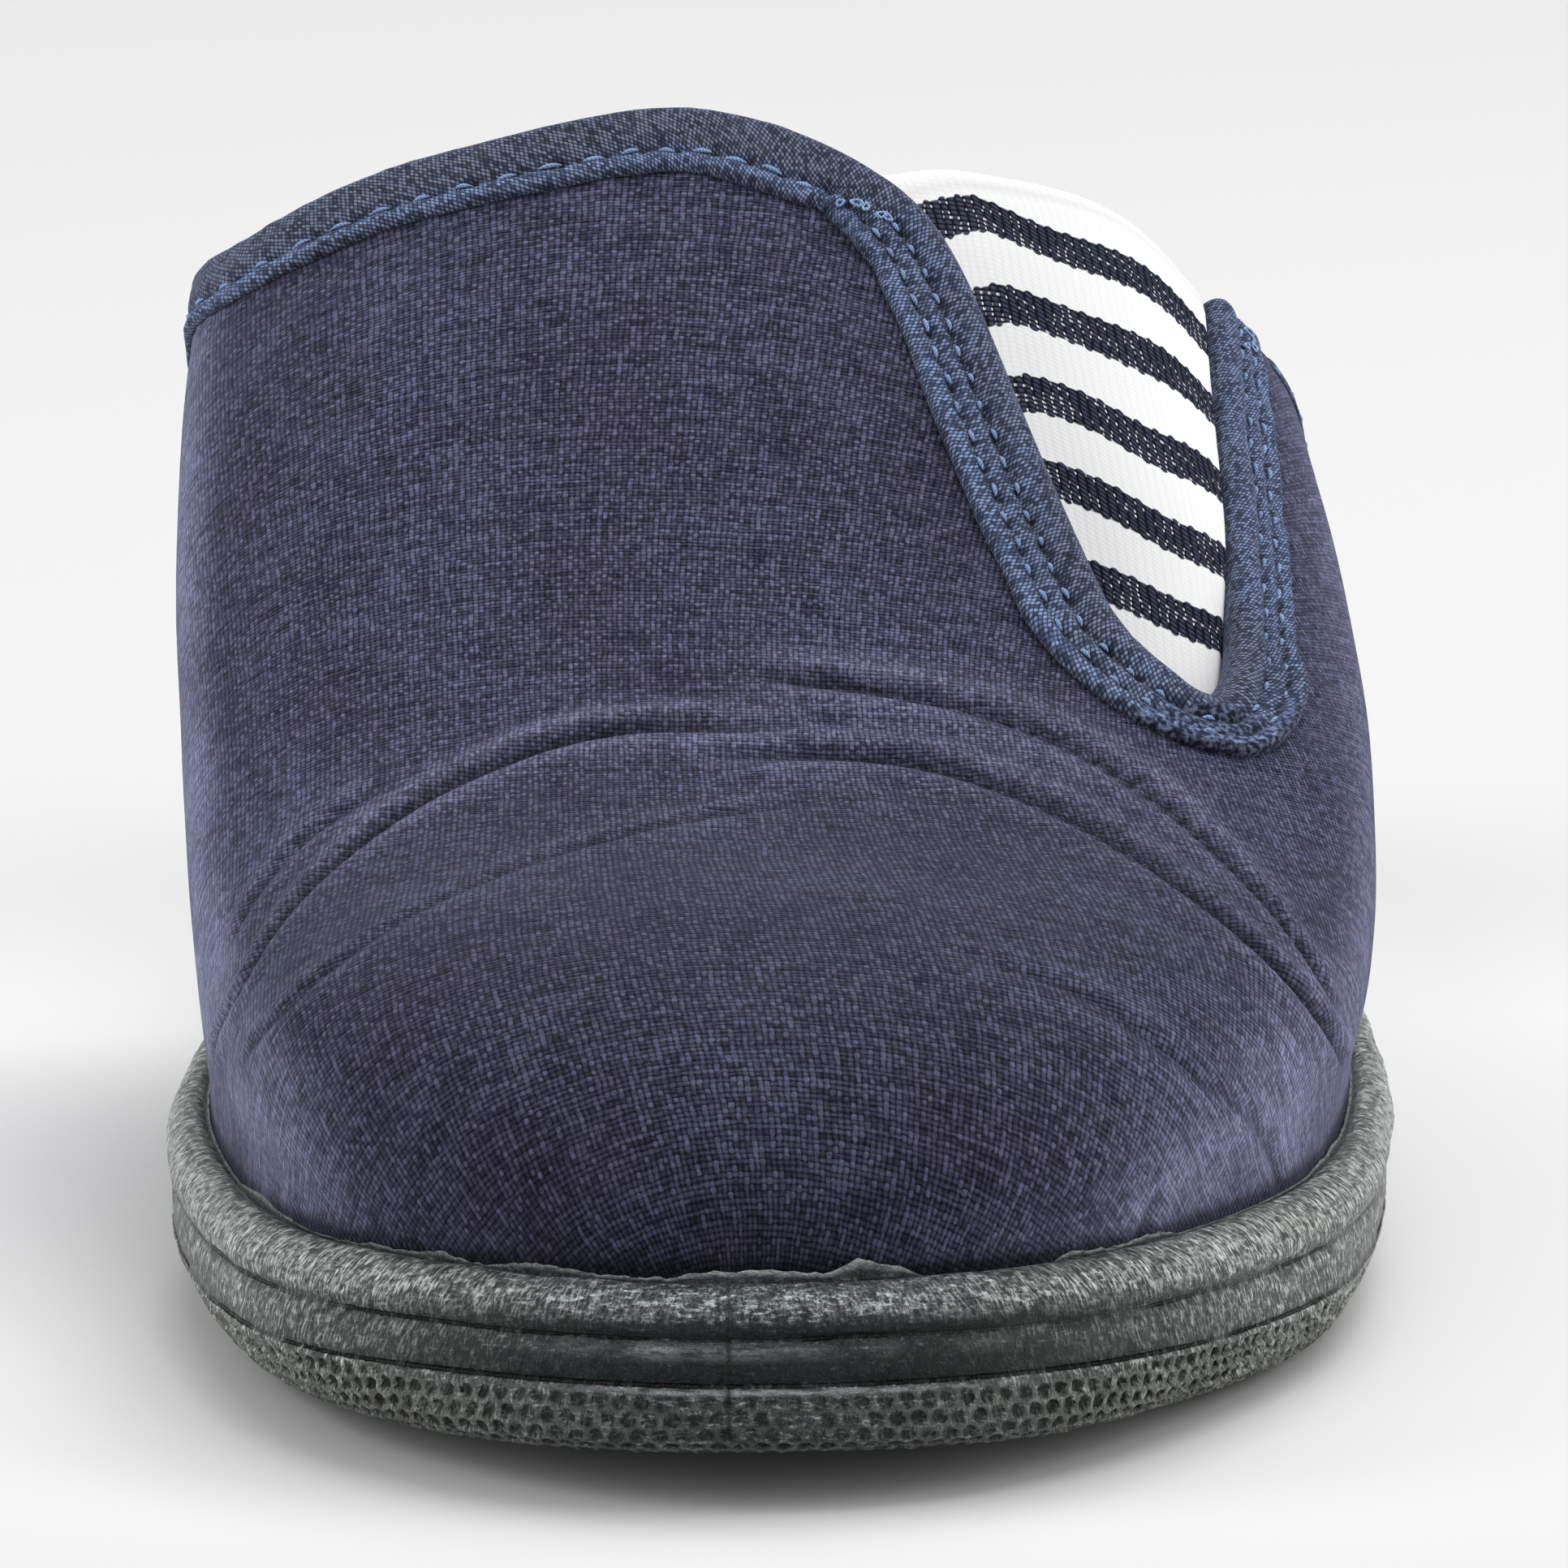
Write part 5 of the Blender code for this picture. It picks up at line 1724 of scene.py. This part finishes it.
def studio():
    bpy.ops.object.select_all(action="DESELECT")
    bpy.ops.mesh.primitive_plane_add(size=FLOOR_SIZE)
    floor = bpy.context.object
    floor.name = "floor"
    paper = Finish("pale floor", Roughness=0.9, Specular_IOR_Level=0.0)
    spots = {0: paper.own_space(), 1: FLOOR_MIDDLE}
    away = paper.node("ShaderNodeVectorMath", {"operation": "DISTANCE"}, spots, 1)
    # A painted pool of light: the floor is paler near the shoe.
    near = 1.0 - away.between(FLOOR_NEAR, FLOOR_FAR)
    floor.data.materials.append(paper.finish(paper.mix(near, rgb(0.705, 0.705, 0.705), rgb(0.8, 0.8, 0.8))))

    world = bpy.data.worlds.new("studio air")
    world.use_nodes = True
    world.node_tree.nodes["Background"].inputs[0].default_value = rgb(1.0, 1.0, 1.0)
    world.node_tree.nodes["Background"].inputs[1].default_value = AIR_LIGHT
    bpy.context.scene.world = world
    for light in LIGHTS:
        area_light(*light)

    lens = bpy.data.cameras.new("camera")
    lens.sensor_width = SENSOR_WIDTH
    lens.lens = FOCAL_LENGTH
    lens.clip_start, lens.clip_end = 0.05, 50.0
    camera = bpy.data.objects.new("camera", lens)
    camera.location = CAMERA_PLACE
    camera.rotation_euler = (Vector(CAMERA_AIM) - camera.location).to_track_quat("-Z", "Y").to_euler()
    bpy.context.scene.collection.objects.link(camera)
    bpy.context.scene.camera = camera
    bpy.context.scene.view_settings.view_transform = "Standard"


TAPE = tape_finish()
THREAD = thread_finish("light blue thread", rgb(0.31, 0.46, 0.76), rgb(0.10, 0.17, 0.35))


def upper_trim():
    edge = Edge(*ROUND_EDGE.T)
    corner = path_lengths(skin(*ROUND_EDGE.T), 0)[np.abs(FROM_CORNER).argmin()]
    notched = ease((edge.length - corner + 2.0) / 6.0)
    edge.wide = 1 - NOTCH_NARROWING * ease((edge.length - edge.length[-1] + NOTCH_TURN + 3.0) / 9.0)
    tape("edge_tape", edge, notched, corner, ("topline_binding", "notch_binding"))
    across = np.linspace(QUARTER_START, feather_place(1), 600)
    quarter = Edge(np.ones_like(across), across)
    quarter.wide = QUARTER_WIDTH + QUARTER_GAIN * ease(quarter.length / QUARTER_WIDENING)
    tape("quarter_tape", quarter, np.zeros(quarter.stops), 0.0, ("quarter_binding",))
    ends = {
        "topline": (edge, 1.0, corner - 1.0),
        "notch": (edge, corner + 2.0, edge.length[-1] - 2.0),
        "quarter": (quarter, 1.0, quarter.length[-1] - 1.0),
    }
    for name, on, distance, level, pitch, length in STITCH_ROWS:
        along, first, last = ends[on]
        first = corner + pitch * math.ceil((first - corner) / pitch) if on != "quarter" else 0.0
        stitches(name, along, distance, level, pitch, length, first, last)
    thread_knots("thread_ends", edge, corner)


canvas()
upper_trim()
elastic_panel()
footbed()
rubber_sole()
mould_flash()
studio()
